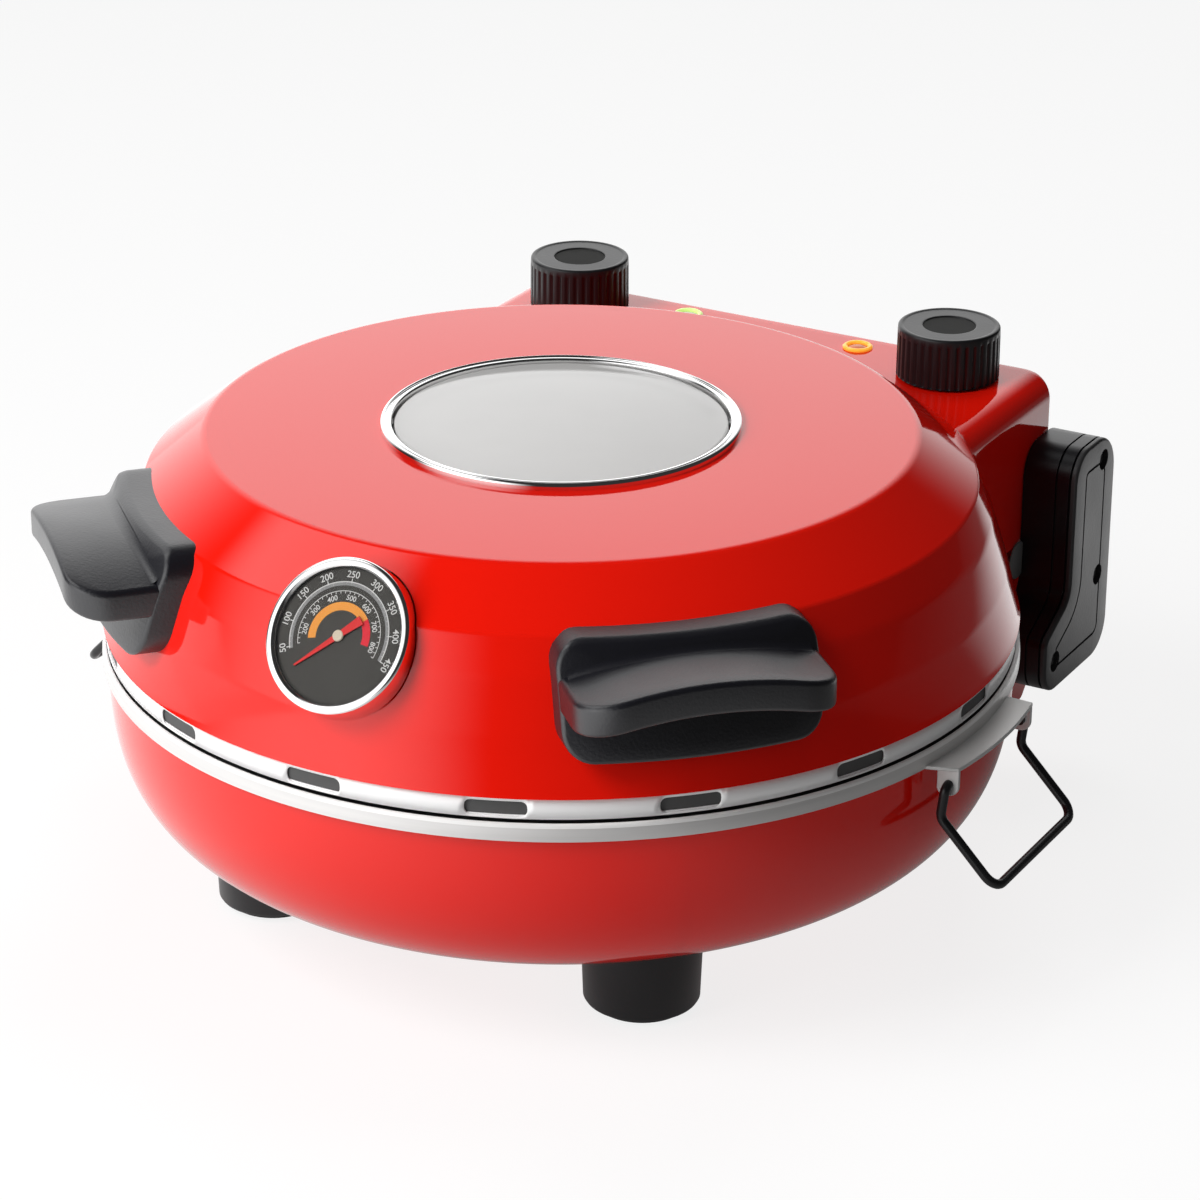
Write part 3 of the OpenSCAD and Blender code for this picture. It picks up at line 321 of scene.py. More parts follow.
def grid_faces(rows, steps):
    """Faces of a sheet whose points were listed row after row."""
    n = steps + 1
    return [(i * n + k, i * n + k + 1, (i + 1) * n + k + 1, (i + 1) * n + k)
            for i in range(rows) for k in range(steps)]


def round_over(r, steps=5):
    """Pairs (inset, rise) of a quarter round, from the side up to the top."""
    return [(r * (1 - cos(pi / 2 * i / steps)), r * sin(pi / 2 * i / steps)) for i in range(steps + 1)]


def cut_out(obj, name, loops):
    """Cuts the body that joins two loops out of a piece; the cutter is never shown."""
    n = len(loops[0])
    verts = [to_frame(p) for loop in loops for p in loop]
    faces = [(i, (i + 1) % n, n + (i + 1) % n, n + i) for i in range(n)]
    faces += [tuple(reversed(range(n))), tuple(range(n, 2 * n))]
    mesh = bpy.data.meshes.new(name)
    mesh.from_pydata(verts, [], faces)
    cutter = bpy.data.objects.new(name, mesh)
    bpy.context.scene.collection.objects.link(cutter)
    cutter.hide_render = True
    cutter.hide_viewport = True
    cut = obj.modifiers.new(name, "BOOLEAN")
    cut.operation = "DIFFERENCE"
    cut.object = cutter


def wall_r(z):
    """The lid wall's outer radius at a height."""
    for (z0, r0), (z1, r1) in zip(WALL_LINE, WALL_LINE[1:]):
        if z <= z1:
            return r0 + (r1 - r0) * (z - z0) / (z1 - z0)
    return WALL_LINE[-1][1]


def turned(points, angle):
    """Turns points about the bowl's axis, anticlockwise seen from above."""
    c, s = cos(radians(angle)), sin(radians(angle))
    return [(x * c - y * s, x * s + y * c, z) for x, y, z in points]


# ---- base ----------------------------------------------------------------------------------


def bowl_points(inset, steps=48):
    """The bowl's side as a superellipse, from its top edge down to the flat underside."""
    depth = BOWL_TOP - BOWL_BOTTOM - inset
    power = 2 / BOWL_CURVE
    out = []
    for i in range(steps + 1):
        a = pi / 2 * i / steps
        out.append((BOWL_FLAT_R + (BOWL_R - inset - BOWL_FLAT_R) * max(cos(a), 0) ** power,
                    BOWL_TOP - depth * sin(a) ** power))
    return out


def make_bowl():
    sheet, hole_r, lip_z = 1.6, 58, RIM_TOP - 3.4
    outer = [(BOWL_R, lip_z)] + bowl_points(0) + [(hole_r, BOWL_BOTTOM)]
    inner = [(hole_r, BOWL_BOTTOM + sheet)] + list(reversed(bowl_points(sheet)))
    inner += [(BOWL_R - sheet, lip_z)]
    revolve("bowl", outer + inner, "red_enamel", "base", ["base_bowl"])


def make_rim():
    """A steel band that leans in; a ring of whiter steel on its top edge is a painted highlight, and a
    dark sheet on the ledge inside it is painted shade.
    """
    steps, lean = 8, 0.35
    ledge_in, ledge_foot, sheet = 156, 93.8, 1.6
    face = [(RIM_R - lean * (k / steps) ** 2, RIM_LOW + 0.5 + (RIM_TOP - RIM_LOW - 1.7) * k / steps)
            for k in range(steps + 1)]
    lip = corner((RIM_R - 0.4, 99), (RIM_R - 0.5, RIM_TOP), (166, RIM_TOP), 0.6, 5)
    lip += [(RIM_R - 1.7, RIM_TOP - 0.1), (RIM_R - 1.9, RIM_TOP - 0.5), (RIM_R - 1.9, RIM_TOP - 1.4)]
    inside = [(ledge_in, RIM_TOP - 1.4), (ledge_in, ledge_foot), (ledge_in + sheet, ledge_foot),
              (ledge_in + sheet, RIM_TOP - 2.6), (RIM_R - 2.4, RIM_TOP - 2.6),
              (RIM_R - 2.4, RIM_LOW), (RIM_R - 0.9, RIM_LOW)]
    revolve("rim", face + lip + inside, "rim_steel", "base", ["base_rim"], sharp=35)
    # painted highlight: a thin ring of whiter steel along the rim's top edge, where it catches the light
    edge = [(RIM_R - 0.5, RIM_TOP - 1.5), (RIM_R - 0.3, RIM_TOP - 1.4), (RIM_R - 0.4, RIM_TOP - 0.3),
            (RIM_R - 0.8, RIM_TOP + 0.05), (RIM_R - 1.6, RIM_TOP + 0.05), (RIM_R - 1.6, RIM_TOP - 0.5)]
    revolve("rim_painted_highlight", edge, "rim_steel", "base", finish=PAINTED_HIGHLIGHT_WHITE, sharp=60)
    # painted shade: a dark sheet on the inner ledge stands for the shade in the gap under the lid's band
    ledge_shade = [(ledge_in + 0.1, RIM_TOP - 1.3), (RIM_R - 1.9, RIM_TOP - 1.3),
             (RIM_R - 1.9, RIM_TOP - 1.5), (ledge_in + 0.1, RIM_TOP - 1.5)]
    revolve("rim_painted_shade", ledge_shade, "dark_sheet", "base")


def make_feet():
    """Feet that widen upwards, standing on their rubber pads."""
    pad_top, foot_top, widen = 2.0, 29, 0.9
    profile = [(0, pad_top), (FOOT_R - 2, pad_top), (FOOT_R - 0.6, 2.4), (FOOT_R, 3.4),
               (FOOT_R + widen, foot_top), (0, foot_top)]
    for where, angle in FOOT_ANGLES.items():
        cx, cy = FOOT_REACH * cos(radians(angle)), FOOT_REACH * sin(radians(angle))
        revolve("foot_" + where, profile, "foot_black", "base", ["foot_" + where], closed=False,
                steps=96, place=lambda p: (p[0] + cx, p[1] + cy, p[2]))


make_bowl()
make_rim()
make_feet()

# ---- arms ----------------------------------------------------------------------------------


def arm_side(t, steps=12):
    """Side outline of an arm as (y, z), pulled in by t: an upright with a toe that reaches forwards."""
    toe_top, step_top, slope = 71, 82, 0.6
    return rounded([
        (ARM_FRONT + t, ARM_TOP - t, 12 - t),
        (ARM_BACK - 0.5 - t, ARM_TOP - t, 16 - t),
        (ARM_BACK - t, ARM_LOW + t, 14 - t),
        (ARM_TOE + 0.5 + t, ARM_LOW + t, 11 - t),
        (ARM_TOE + t, toe_top - t * slope, max(5 - t, 1)),
        (ARM_FRONT + t, step_top - t * slope, 10 + t),
    ], steps)


def arm_loops(levels, side):
    """Loops of the arm's outline from (x, inset) pairs, on the right (1) or left (-1)."""
    return [[(side * x, y, z) for y, z in arm_side(t)] for x, t in levels]


def make_arm(side, name):
    """A black body with a seam round it, and a cover plate with a groove and three sunk screws."""
    seam, half_gap, seam_deep, split_deep = 131.2, 0.4, 0.9, 1.2
    body = [(ARM_IN, 0), (seam - half_gap, 0), (seam - half_gap, seam_deep),
            (seam + half_gap, seam_deep), (seam + half_gap, 0),
            (ARM_SPLIT - half_gap, 0), (ARM_SPLIT - half_gap, split_deep), (ARM_SPLIT, split_deep)]
    skin("arm_" + name, arm_loops(body, side), "arm_black", "base", ["arm_" + name], sharp=30)
    soft, groove, groove_w, deep, slant = 1.2, 9.4, 1.1, 0.9, 0.15
    face = [(ARM_SPLIT, split_deep), (ARM_SPLIT + 0.5, split_deep), (ARM_SPLIT + 0.5, 0)]
    face += [(ARM_OUT - soft + rise, inset) for inset, rise in round_over(soft)]
    face += [(ARM_OUT, groove), (ARM_OUT - deep, groove + slant),
             (ARM_OUT - deep, groove + groove_w - slant), (ARM_OUT, groove + groove_w)]
    cover = skin("arm_cover_" + name, arm_loops(face, side), "cover_grey", "base",
                 ["arm_cover_" + name], sharp=30)
    for i, (y, z) in enumerate(ARM_SCREWS):
        make_screw_hole(f"arm_{name}_screw_{i}", side, y, z, cover)


def make_washer(side, name):
    """The broad grey disc beside an arm's front edge, which the arm half covers."""
    y0, z0, r = 150.5, 94.8, 7.4
    low, high = ARM_IN + 0.1, ARM_IN + 1.0
    profile = [(0, low), (r, low), (r, high - 0.3), (r - 0.5, high), (0, high)]
    return revolve("washer_" + name, profile, "fitting_steel", "base", closed=False, steps=48,
                   place=lambda p: (side * p[2], y0 + p[0], z0 + p[1]), finish=WASHER_GREY)


def make_screw_hole(name, side, y, z, cover):
    """A round hole sunk into the cover, with a dark screw head at its foot."""
    depth, r, head_r, sides, past = 3.0, 4.2, 3.3, 40, 3
    ring = [(y + r * cos(2 * pi * i / sides), z + r * sin(2 * pi * i / sides)) for i in range(sides)]
    cut_out(cover, name + "_cut", [[(side * x, a, b) for a, b in ring]
                                   for x in (ARM_OUT - depth, ARM_OUT + past)])
    head = [(0, -depth), (head_r, -depth), (head_r, -depth + 0.9), (head_r - 0.7, -depth + 1.4),
            (0, -depth + 1.4)]
    revolve(name, head, "dark_sheet", "base", closed=False, steps=32,
            place=lambda p: (side * (ARM_OUT + p[2]), y + p[0], z + p[1]))


make_arm(1, "right")
make_arm(-1, "left")
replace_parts(make_washer(1, "right"), "arm_anchor_bolts")
make_washer(-1, "left")
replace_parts(bpy.data.objects["arm_right_screw_0"], "arm_cover_screws")

# ---- lid -----------------------------------------------------------------------------------


def gauge_point(u, v, out):
    """A point of the dial: u to its right, v up its face, out towards the viewer."""
    t = radians(GAUGE_TILT)
    x, y, z = GAUGE_AT
    return (x + u, y + v * sin(t) - out * cos(t), z + v * cos(t) + out * sin(t))


def lid_outline(inset):
    """The lid's section from its lip up to the middle, pulled in by the sheet's thickness."""
    wall = [(r - inset, z) for z, r in WALL_LINE[:-2]]
    shoulder = (SHOULDER_R - inset * 0.6, SHOULDER_Z - inset * 0.7)
    disc = (DISC_R - inset * 0.4, DISC_Z - inset)
    return (wall + corner(wall[-1], shoulder, disc, 4, 8)
            + corner(shoulder, disc, (0, DISC_Z - inset), 5, 8))


def make_lid_shell():
    """The red dome, open under the window and round the thermometer."""
    mouth, sheet = WINDOW_R - 3.6, 1.6
    outer = lid_outline(0)
    # the wall's own bends are softened, so that reflections run on without a break
    outer[3:4] = corner(outer[2], outer[3], outer[4], 30, 6)
    outer[2:3] = corner(outer[1], outer[2], outer[3], 60, 6)
    inner = list(reversed(lid_outline(sheet)))
    profile = outer + [(mouth, DISC_Z), (mouth, DISC_Z - sheet)] + inner
    shell = revolve("lid_shell", profile, "red_enamel", "lid", ["lid_shell"], steps=360, sharp=40)
    seat_r, sides = GAUGE_R + 0.3, 96
    ring = [(seat_r * cos(2 * pi * i / sides), seat_r * sin(2 * pi * i / sides)) for i in range(sides)]
    cut_out(shell, "gauge_seat", [[gauge_point(u, v, out) for u, v in ring] for out in (-9, 20)])


def make_band():
    """The steel band as a wall with round-ended vents, given its thickness by a modifier."""
    half_h = (VENT_HIGH - VENT_LOW) / 2
    mid = (VENT_HIGH + VENT_LOW) / 2
    end_r, half, steps = 2.3, VENT_LENGTH / 2, 24
    plain_step, clear = 1.5, 0.4
    columns = []  # turn round the band, and how far the vent opens from its middle there
    vents = [i * VENT_STEP for i in range(16) if abs(i * VENT_STEP - 180) > 45]
    edge = degrees(half / BAND_R)
    for v in vents:
        for k in range(steps + 1):
            u = -half + VENT_LENGTH * (1 - cos(pi * k / steps)) / 2
            past = max(0, abs(u) - (half - end_r))
            h = half_h - end_r + sqrt(max(0, end_r ** 2 - past ** 2))
            columns.append((v + degrees(u / BAND_R), 0 if k in (0, steps) else h))
    a = 0.0
    while a < 360:
        if all(abs((a - v + 180) % 360 - 180) > edge + clear for v in vents):
            columns.append((a, 0))
        a += plain_step
    columns.sort(key=lambda c: c[0] % 360)
    verts, faces, n = [], [], len(columns)
    for a, h in columns:
        t = radians(a - 90)
        for z in (BAND_LOW, mid - h, mid + h, BAND_TOP):
            verts.append((BAND_R * cos(t), BAND_R * sin(t), z))
    for i in range(n):
        j = (i + 1) % n
        for k in (0, 2):
            faces.append((4 * i + k, 4 * j + k, 4 * j + k + 1, 4 * i + k + 1))
    band = piece("lid_band", verts, faces, "band_steel", "lid", ["lid_band"])
    weld(band)
    thick = band.modifiers.new("thick", "SOLIDIFY")
    thick.thickness = 0.6 * MM
    thick.offset = -1
    foot_in, foot_out = 154, BAND_R - 0.6
    foot = [(foot_in, BAND_LOW + 0.8), (foot_out, BAND_LOW + 0.8), (foot_out, BAND_LOW + 1.2),
            (foot_in, BAND_LOW + 2.0)]
    revolve("lid_band_foot", foot, "band_steel", "lid")
    # painted shade: a dark grey ring just inside the band, behind the vents, so that the openings look
    # dark
    shade_in, shade_out = BAND_R - 1.5, BAND_R - 0.9
    mesh = [(shade_in, BAND_LOW + 1), (shade_out, BAND_LOW + 1), (shade_out, BAND_TOP), (shade_in, BAND_TOP)]
    revolve("vent_painted_shade", mesh, "dark_sheet", "lid", finish=VENT_SHADE_GREY)


def make_window():
    """A chrome ring with a fine groove round it, and the glass inside."""
    top, foot, seat = DISC_Z + 2.5, DISC_Z - 1, 176.2
    ring = rounded([(WINDOW_R, foot, 0), (WINDOW_R, top, 1.2), (64.4, top, 0.5), (64.2, top - 1.2, 0),
                    (63.7, top - 1.2, 0), (63.5, top - 0.3, 0.5), (61.8, top - 0.5, 0.8),
                    (61.6, seat, 0), (62.6, seat, 0), (62.6, foot, 0)], 4)
    revolve("window_ring", ring, "chrome", "lid", ["window_ring"], sharp=30)
    glass_r, low, high = 61, 176.4, 180.4
    glass = rounded([(0, low, 0), (glass_r, low, 0.8), (glass_r, high, 1.0), (0, high, 0)], 3)
    revolve("window_glass", glass, "window_glass", "lid", ["window_glass"], closed=False)


make_lid_shell()
make_band()
make_window()

# ---- control housing -----------------------------------------------------------------------


HOUSING_EDGE = 10.0


def housing_plan(t, z, behind=None):
    """Plan outline pulled in by t at the sides and by `behind` at the rear; it starts in the dome."""
    front, r = 84, 4.0
    behind = t if behind is None else behind
    half, back = HOUSING_HALF - t, HOUSING_BACK - behind
    outline = rounded([(-half, front, 0), (half, front, 0), (half, back, r), (-half, back, r)], 8)
    return [(x, y, z) for x, y in outline]


def make_housing():
    """A box with broadly rounded side edges and a nearly sharp rear edge."""
    rear, sheet = 1.6, 2.2
    loops = [housing_plan(sheet, HOUSING_LOW + 1.5), housing_plan(sheet, HOUSING_LOW),
             housing_plan(0, HOUSING_LOW)]
    for t, up in round_over(HOUSING_EDGE, 12):
        past = max(0, up - HOUSING_EDGE + rear)
        behind = rear - sqrt(max(0, rear ** 2 - past ** 2))
        loops.append(housing_plan(t, SHOULDER_Z - HOUSING_EDGE + up, behind))
    skin("control_housing", loops, "red_enamel", "lid", ["control_housing"], sharp=35)
    # below the sides, a short apron in front of the hinge closes the view under the housing
    apron_in, apron_out, apron_front, apron_back, drop = 114.9, 116.9, 127, 170, 3.9
    plan = [(apron_in, apron_front), (apron_out, apron_front), (apron_out, apron_back),
            (apron_in, apron_back)]
    for side, name in ((1, "right"), (-1, "left")):
        apron = [[(side * x, y, z) for x, y in plan] for z in (HOUSING_LOW - drop, HOUSING_LOW + 0.5)]
        skin("housing_apron_" + name, apron, "red_enamel", "lid")


def make_blend(side):
    """Concave strip that runs down between the lid's wall and the housing's side."""
    low, high, steps, rows = 127.0, SHOULDER_Z - 0.1, 8, 24
    edge, widest, full_from, skin_gap = HOUSING_EDGE, 9.0, 0.55, 0.05
    verts = []
    for i in range(rows + 1):
        z = low + (high - low) * i / rows
        over = max(0, z - SHOULDER_Z + edge)
        x_side = HOUSING_HALF - edge + sqrt(max(0, edge ** 2 - over ** 2)) + skin_gap
        r = widest * min(1, (i + 0.5) / (full_from * rows)) ** 1.5
        wall = wall_r(z) + skin_gap
        cx = x_side + r
        cy = sqrt((wall + r) ** 2 - cx ** 2)
        to_wall = atan2(-cy, -cx)
        for k in range(steps + 1):
            a = -pi + (to_wall + pi) * k / steps
            verts.append((side * (cx + r * cos(a)), cy + r * sin(a), z))
    faces = grid_faces(rows, steps)
    piece("housing_blend_" + ("right" if side > 0 else "left"), verts, faces, "red_enamel", "lid")


def make_knob(name, x):
    """A knob with scooped ribs on its side, a shallow rim on top and a sunk dish."""
    top = KNOB_LOW + KNOB_H
    bevel, dish, sunk = 0.9, 10.3, 0.25
    smooth_above, smooth_below = top - 2.6, KNOB_LOW + 0.6
    per_rib, rib_deep, rib_shape = 10, 0.75, 0.6
    columns = KNOB_RIBS * per_rib
    # radius, height, and whether the scoops reach this row
    rows = [(KNOB_R - 3, KNOB_LOW, 0), (KNOB_R - 0.5, KNOB_LOW, 0), (KNOB_R, smooth_below - 0.4, 0),
            (KNOB_R, smooth_below, 1), (KNOB_R - 0.1, smooth_above - 0.8, 1),
            (KNOB_R - 0.1, smooth_above, 0), (KNOB_R - 0.2, top - bevel, 0)]
    rows += [(KNOB_R - 0.2 - inset, top - bevel + rise, 0) for inset, rise in round_over(bevel, 4)[1:]]
    rows += [(KNOB_R - 1.9, top, 0), (KNOB_R - 2.3, top - sunk, 0), (KNOB_R - 2.6, top - sunk, 0)]
    rows += [(dish + 0.6, top - sunk, 0), (dish + 0.3, top - sunk, 0), (dish, top - 0.4, 0)]
    rows += [(dish - 0.1, top - 0.8, 0), (0.01, top - 0.8, 0)]
    verts, faces, n = [], [], len(rows)
    for i in range(columns):
        a = 2 * pi * i / columns
        phase = (i % per_rib) / per_rib
        hollow = max(0.0, cos(2 * pi * (phase - 0.5))) ** rib_shape * rib_deep
        for r, z, ribbed in rows:
            rr = r - hollow * ribbed
            verts.append((x + rr * cos(a), KNOB_Y + rr * sin(a), z))
    for i in range(columns):
        j = (i + 1) % columns
        faces += [(i * n + k, j * n + k, j * n + k + 1, i * n + k + 1) for k in range(n - 1)]
    piece(name, verts, faces, "knob_black", name, [name], sharp=45)
    floor_z = top - 0.75
    plate = [(0, floor_z), (dish - 0.1, floor_z), (dish - 0.1, floor_z - 0.3), (0, floor_z - 0.3)]
    revolve(name + "_dish", plate, "knob_black", name, closed=False, steps=64,
            place=lambda p: (p[0] + x, p[1] + KNOB_Y, p[2]), finish=KNOB_DISH)


def make_lamp(name, x, lens):
    """A lit ring round a sunk lens."""
    place = lambda p: (p[0] + x, p[1] + LAMP_Y, p[2] + SHOULDER_Z)
    ring = [(LAMP_R - 1.5, -2), (LAMP_R - 1.5, -0.1), (LAMP_R, -0.1), (LAMP_R, 0.7), (LAMP_R - 0.6, 1.2),
            (LAMP_R - 1.3, 1.2), (LAMP_R - 1.9, 0.7), (LAMP_R - 1.9, -2)]
    revolve(name, ring, name, "lid", [name], steps=64, place=place)
    dome = [(0, 0.8), (1.6, 0.72), (3.0, 0.45), (LAMP_R - 1.8, 0.1), (LAMP_R - 1.8, -1.5), (0, -1.5)]
    revolve(name + "_lens", dome, name, "lid", closed=False, steps=48, place=place, finish=lens)


make_housing()
make_blend(1)
make_blend(-1)
make_knob("knob_left", -KNOB_X)
make_knob("knob_right", KNOB_X)
make_lamp("lamp_green", -LAMP_X, LENS_GREEN)
make_lamp("lamp_orange", LAMP_X, LENS_ORANGE)

# ---- grips ---------------------------------------------------------------------------------


def densified(loop, step=4.0):
    """Adds points along the straight parts of a closed outline."""
    out = []
    for (x0, y0), (x1, y1) in zip(loop, loop[1:] + loop[:1]):
        n = max(1, ceil(hypot(x1 - x0, y1 - y0) / step))
        out += [(x0 + (x1 - x0) * k / n, y0 + (y1 - y0) * k / n) for k in range(n)]
    return out


def plate_loop(out, inset, shrink=1.0):
    """Loop of the back plate's outline, standing `out` from the lid's wall."""
    mid, r = (GRIP_LOW + GRIP_TOP) / 2, 10
    half, up = GRIP_HALF, (GRIP_TOP - GRIP_LOW) / 2
    loop = []
    for u, w in densified(rounded([(-half, -up, r), (half, -up, r), (half, up, r), (-half, up, r)])):
        length = hypot(max(abs(u) - half + r, 0), max(abs(w) - up + r, 0))
        if length < 1e-6:
            length = 1
        across, along = max(abs(u) - half + r, 0) / length, max(abs(w) - up + r, 0) / length
        u -= inset * across * (1 if u > 0 else -1)
        w -= inset * along * (1 if w > 0 else -1)
        u, z = u * shrink, mid + w * shrink
        radius = wall_r(z) + out
        loop.append((u, -sqrt(radius * radius - u * u), z))
    return loop


def arch_z(u):
    """Height of the shelf's top, which sinks a little from its middle to its ends."""
    return SHELF_TOP - SHELF_ARCH_R + sqrt(SHELF_ARCH_R ** 2 - u * u)


def shelf_loop(depth, inset, shrink=1.0):
    """Plan outline of the shelf, laid on its arch, `depth` under the arch's top."""
    half, reach, r = GRIP_HALF - 0.2 - inset, SHELF_REACH - inset, 15 - inset
    buried, mid, deep = 161, 172, 100  # its inner edge, what it shrinks to, and a point inside the lid
    span = half - r
    line = corner((half, deep), (half, reach), (0, reach), r, 9)
    line += [(span * (1 - k / 12), reach) for k in range(1, 24)]
    line += corner((0, reach), (-half, reach), (-half, deep), r, 9)
    line += [(u, sqrt(buried ** 2 - u ** 2)) for u in [half * (k / 8 - 1) for k in range(17)]]
    return [(u, -mid - (v - mid) * shrink, arch_z(u) - depth) for u, v in line]


def make_grip(name, angle):
    """A plate that hugs the lid's wall, an arched shelf, and a fillet where they meet on top."""
    edge, soft, fillet, overlap = 1.5, 1.8, 2.4, 0.05
    plate = [plate_loop(-1.0, 0), plate_loop(GRIP_PLATE - edge, 0)]
    plate += [plate_loop(GRIP_PLATE - edge + rise, inset) for inset, rise in round_over(edge)[1:]]
    plate += [plate_loop(GRIP_PLATE, edge, s) for s in (0.8, 0.55, 0.3, 0.08)]
    skin(name + "_plate", [turned(l, angle) for l in plate], "grip_charcoal", "lid", sharp=50)
    shelf = [shelf_loop(SHELF_THICK, soft, s) for s in (0, 0.4, 0.75)]
    shelf += [shelf_loop(SHELF_THICK - soft + rise, inset) for inset, rise in reversed(round_over(soft))]
    shelf += [shelf_loop(soft - rise, inset) for inset, rise in round_over(soft)]
    shelf += [shelf_loop(0, soft, s) for s in (0.75, 0.4, 0)]
    skin(name, [turned(l, angle) for l in shelf], "grip_charcoal", "lid", [name],
         cap_first=False, cap_last=False, sharp=50)
    verts, steps, across = [], 6, 24
    for i in range(across + 1):
        u = (GRIP_HALF - 3) * (2 * i / across - 1)
        for k in range(steps + 1):
            a = pi / 2 * k / steps
            z = arch_z(u) + fillet * (1 - sin(a))
            radius = wall_r(z) + GRIP_PLATE + fillet * (1 - cos(a)) - overlap
            verts.append((u, -sqrt(radius * radius - u * u), z - overlap))
    faces = grid_faces(across, steps)
    piece(name + "_fillet", turned(verts, angle), faces, "grip_charcoal", "lid")


for where, angle in GRIP_ANGLES.items():
    make_grip("grip_" + where, angle)

# ---- thermometer ---------------------------------------------------------------------------


def gauge_spin(p):
    """Places a turned piece round the dial's own axis."""
    return gauge_point(*p)


def dial_sector(name, r0, r1, start, stop, out, finish):
    """A flat ring sector on the dial; angles run anticlockwise from its right."""
    steps, verts = 64, []
    for i in range(steps + 1):
        a = radians(start + (stop - start) * i / steps)
        verts += [gauge_point(r * cos(a), r * sin(a), out) for r in (r0, r1)]
    faces = [(2 * i, 2 * i + 1, 2 * i + 3, 2 * i + 2) for i in range(steps)]
    piece(name, verts, faces, "dial_face", "lid", finish=finish)


def dial_ticks(name, r0, r1, width, angles, out, finish):
    """Short marks between two radii of the dial, twice `width` wide."""
    verts, faces = [], []
    for a in angles:
        c, s = cos(radians(a)), sin(radians(a))
        for r, w in ((r0, -width), (r0, width), (r1, width), (r1, -width)):
            verts.append(gauge_point(r * c - w * s, r * s + w * c, out))
        k = len(verts)
        faces.append((k - 4, k - 3, k - 2, k - 1))
    piece(name, verts, faces, "dial_face", "lid", finish=finish)


STROKE_GROWTH = 0.03


def dial_number(text, r, angle, size, out):
    """A plain number whose head points away from the dial's middle."""
    letters = bpy.data.curves.new("number_" + text, "FONT")
    letters.body = text
    letters.align_x = "CENTER"
    letters.align_y = "CENTER"
    letters.size = size * MM
    letters.offset = STROKE_GROWTH * MM
    turn = radians(angle - 90)
    obj = bpy.data.objects.new(f"number_{text}_{int(r)}", letters)
    bpy.context.scene.collection.objects.link(obj)
    right = Vector((cos(turn), sin(turn), 0))
    up = Vector((-sin(turn), cos(turn), 0))
    t = radians(GAUGE_TILT)
    on_face = lambda w: Vector((w.x, w.y * sin(t), w.y * cos(t)))
    normal = Vector((0, -cos(t), sin(t)))
    at = to_frame(gauge_point(r * cos(radians(angle)), r * sin(radians(angle)), out))
    axes = [on_face(right), on_face(up), normal]
    obj.matrix_world = Matrix(((axes[0].x, axes[1].x, axes[2].x, at.x),
                               (axes[0].y, axes[1].y, axes[2].y, at.y),
                               (axes[0].z, axes[1].z, axes[2].z, at.z), (0, 0, 0, 1)))
    obj.data.materials.append(PRINT_WHITE)
    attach(obj, "lid")


def make_gauge():
    """The chrome case with its dial, marks, plain numbers and glass."""
    front, rear, dial_r, thick = 1.8, -13, 23.8, 0.8
    glass_low, glass_high = 0.8, 1.4
    bezel = rounded([(22.5, rear, 0), (GAUGE_R - 0.1, rear, 0), (GAUGE_R, front, 1.2),
                     (24.6, front, 0.7), (dial_r, 0.9, 0.3), (dial_r, -1.4, 0), (21.1, -1.4, 0),
                     (21.1, rear, 0)], 5)
    revolve("gauge_case", bezel, "chrome", "lid", ["gauge_case"], steps=128, place=gauge_spin, sharp=30)
    spacer = [(23.75, DIAL_TOP), (23.75, glass_low), (23.6, glass_low), (23.6, DIAL_TOP)]
    revolve("gauge_spacer", spacer, "dark_sheet", "lid", steps=96, place=gauge_spin)
    plate = [(0, DIAL_TOP), (dial_r, DIAL_TOP), (dial_r, DIAL_TOP - thick), (0, DIAL_TOP - thick)]
    revolve("gauge_dial", plate, "dial_face", "lid", ["gauge_dial"], closed=False, steps=96,
            place=gauge_spin)
    glass = [(0, glass_high), (23.7, glass_high), (23.7, glass_low), (0, glass_low)]
    revolve("gauge_glass", glass, "clear_glass", "lid", ["gauge_glass"], closed=False, steps=96,
            place=gauge_spin)
    first, step = 203.0, -27.35  # angle of the lowest outer number, and the turn to the next
    last = first + 8 * step
    over = DIAL_TOP + 0.06
    dial_sector("dial_band", 17.5, 18.6, last, first + 2, over, PRINT_GREY)
    dial_sector("dial_line", 18.6, 18.95, last, first + 2, over, PRINT_WHITE)
    dial_sector("dial_inner_line", 15.5, 15.75, -17, first - 2, over, PRINT_WHITE)
    big, small = [first + step * k for k in range(9)], [first + step * k / 5 for k in range(41)]
    inner = [201 - 6.8 * k for k in range(33)]
    dial_ticks("dial_marks", 18.8, 20.0, 0.17, big, over, PRINT_WHITE)
    dial_ticks("dial_fine_marks", 18.0, 18.8, 0.08, small, over, PRINT_WHITE)
    dial_ticks("dial_inner_marks", 14.7, 15.6, 0.12, inner, over, PRINT_WHITE)
    dial_sector("dial_orange", 8.9, 11.8, 42, 195, over, PRINT_ORANGE)
    dial_sector("dial_red", 8.9, 11.8, -6, 42, over, PRINT_RED)
    for k in range(9):
        dial_number(str(50 + 50 * k), 21.3, first + step * k, 3.3, over)
    for k in range(7):
        dial_number(str(200 + 100 * k), 13.3, 181 - 31.0 * k, 2.6, over)


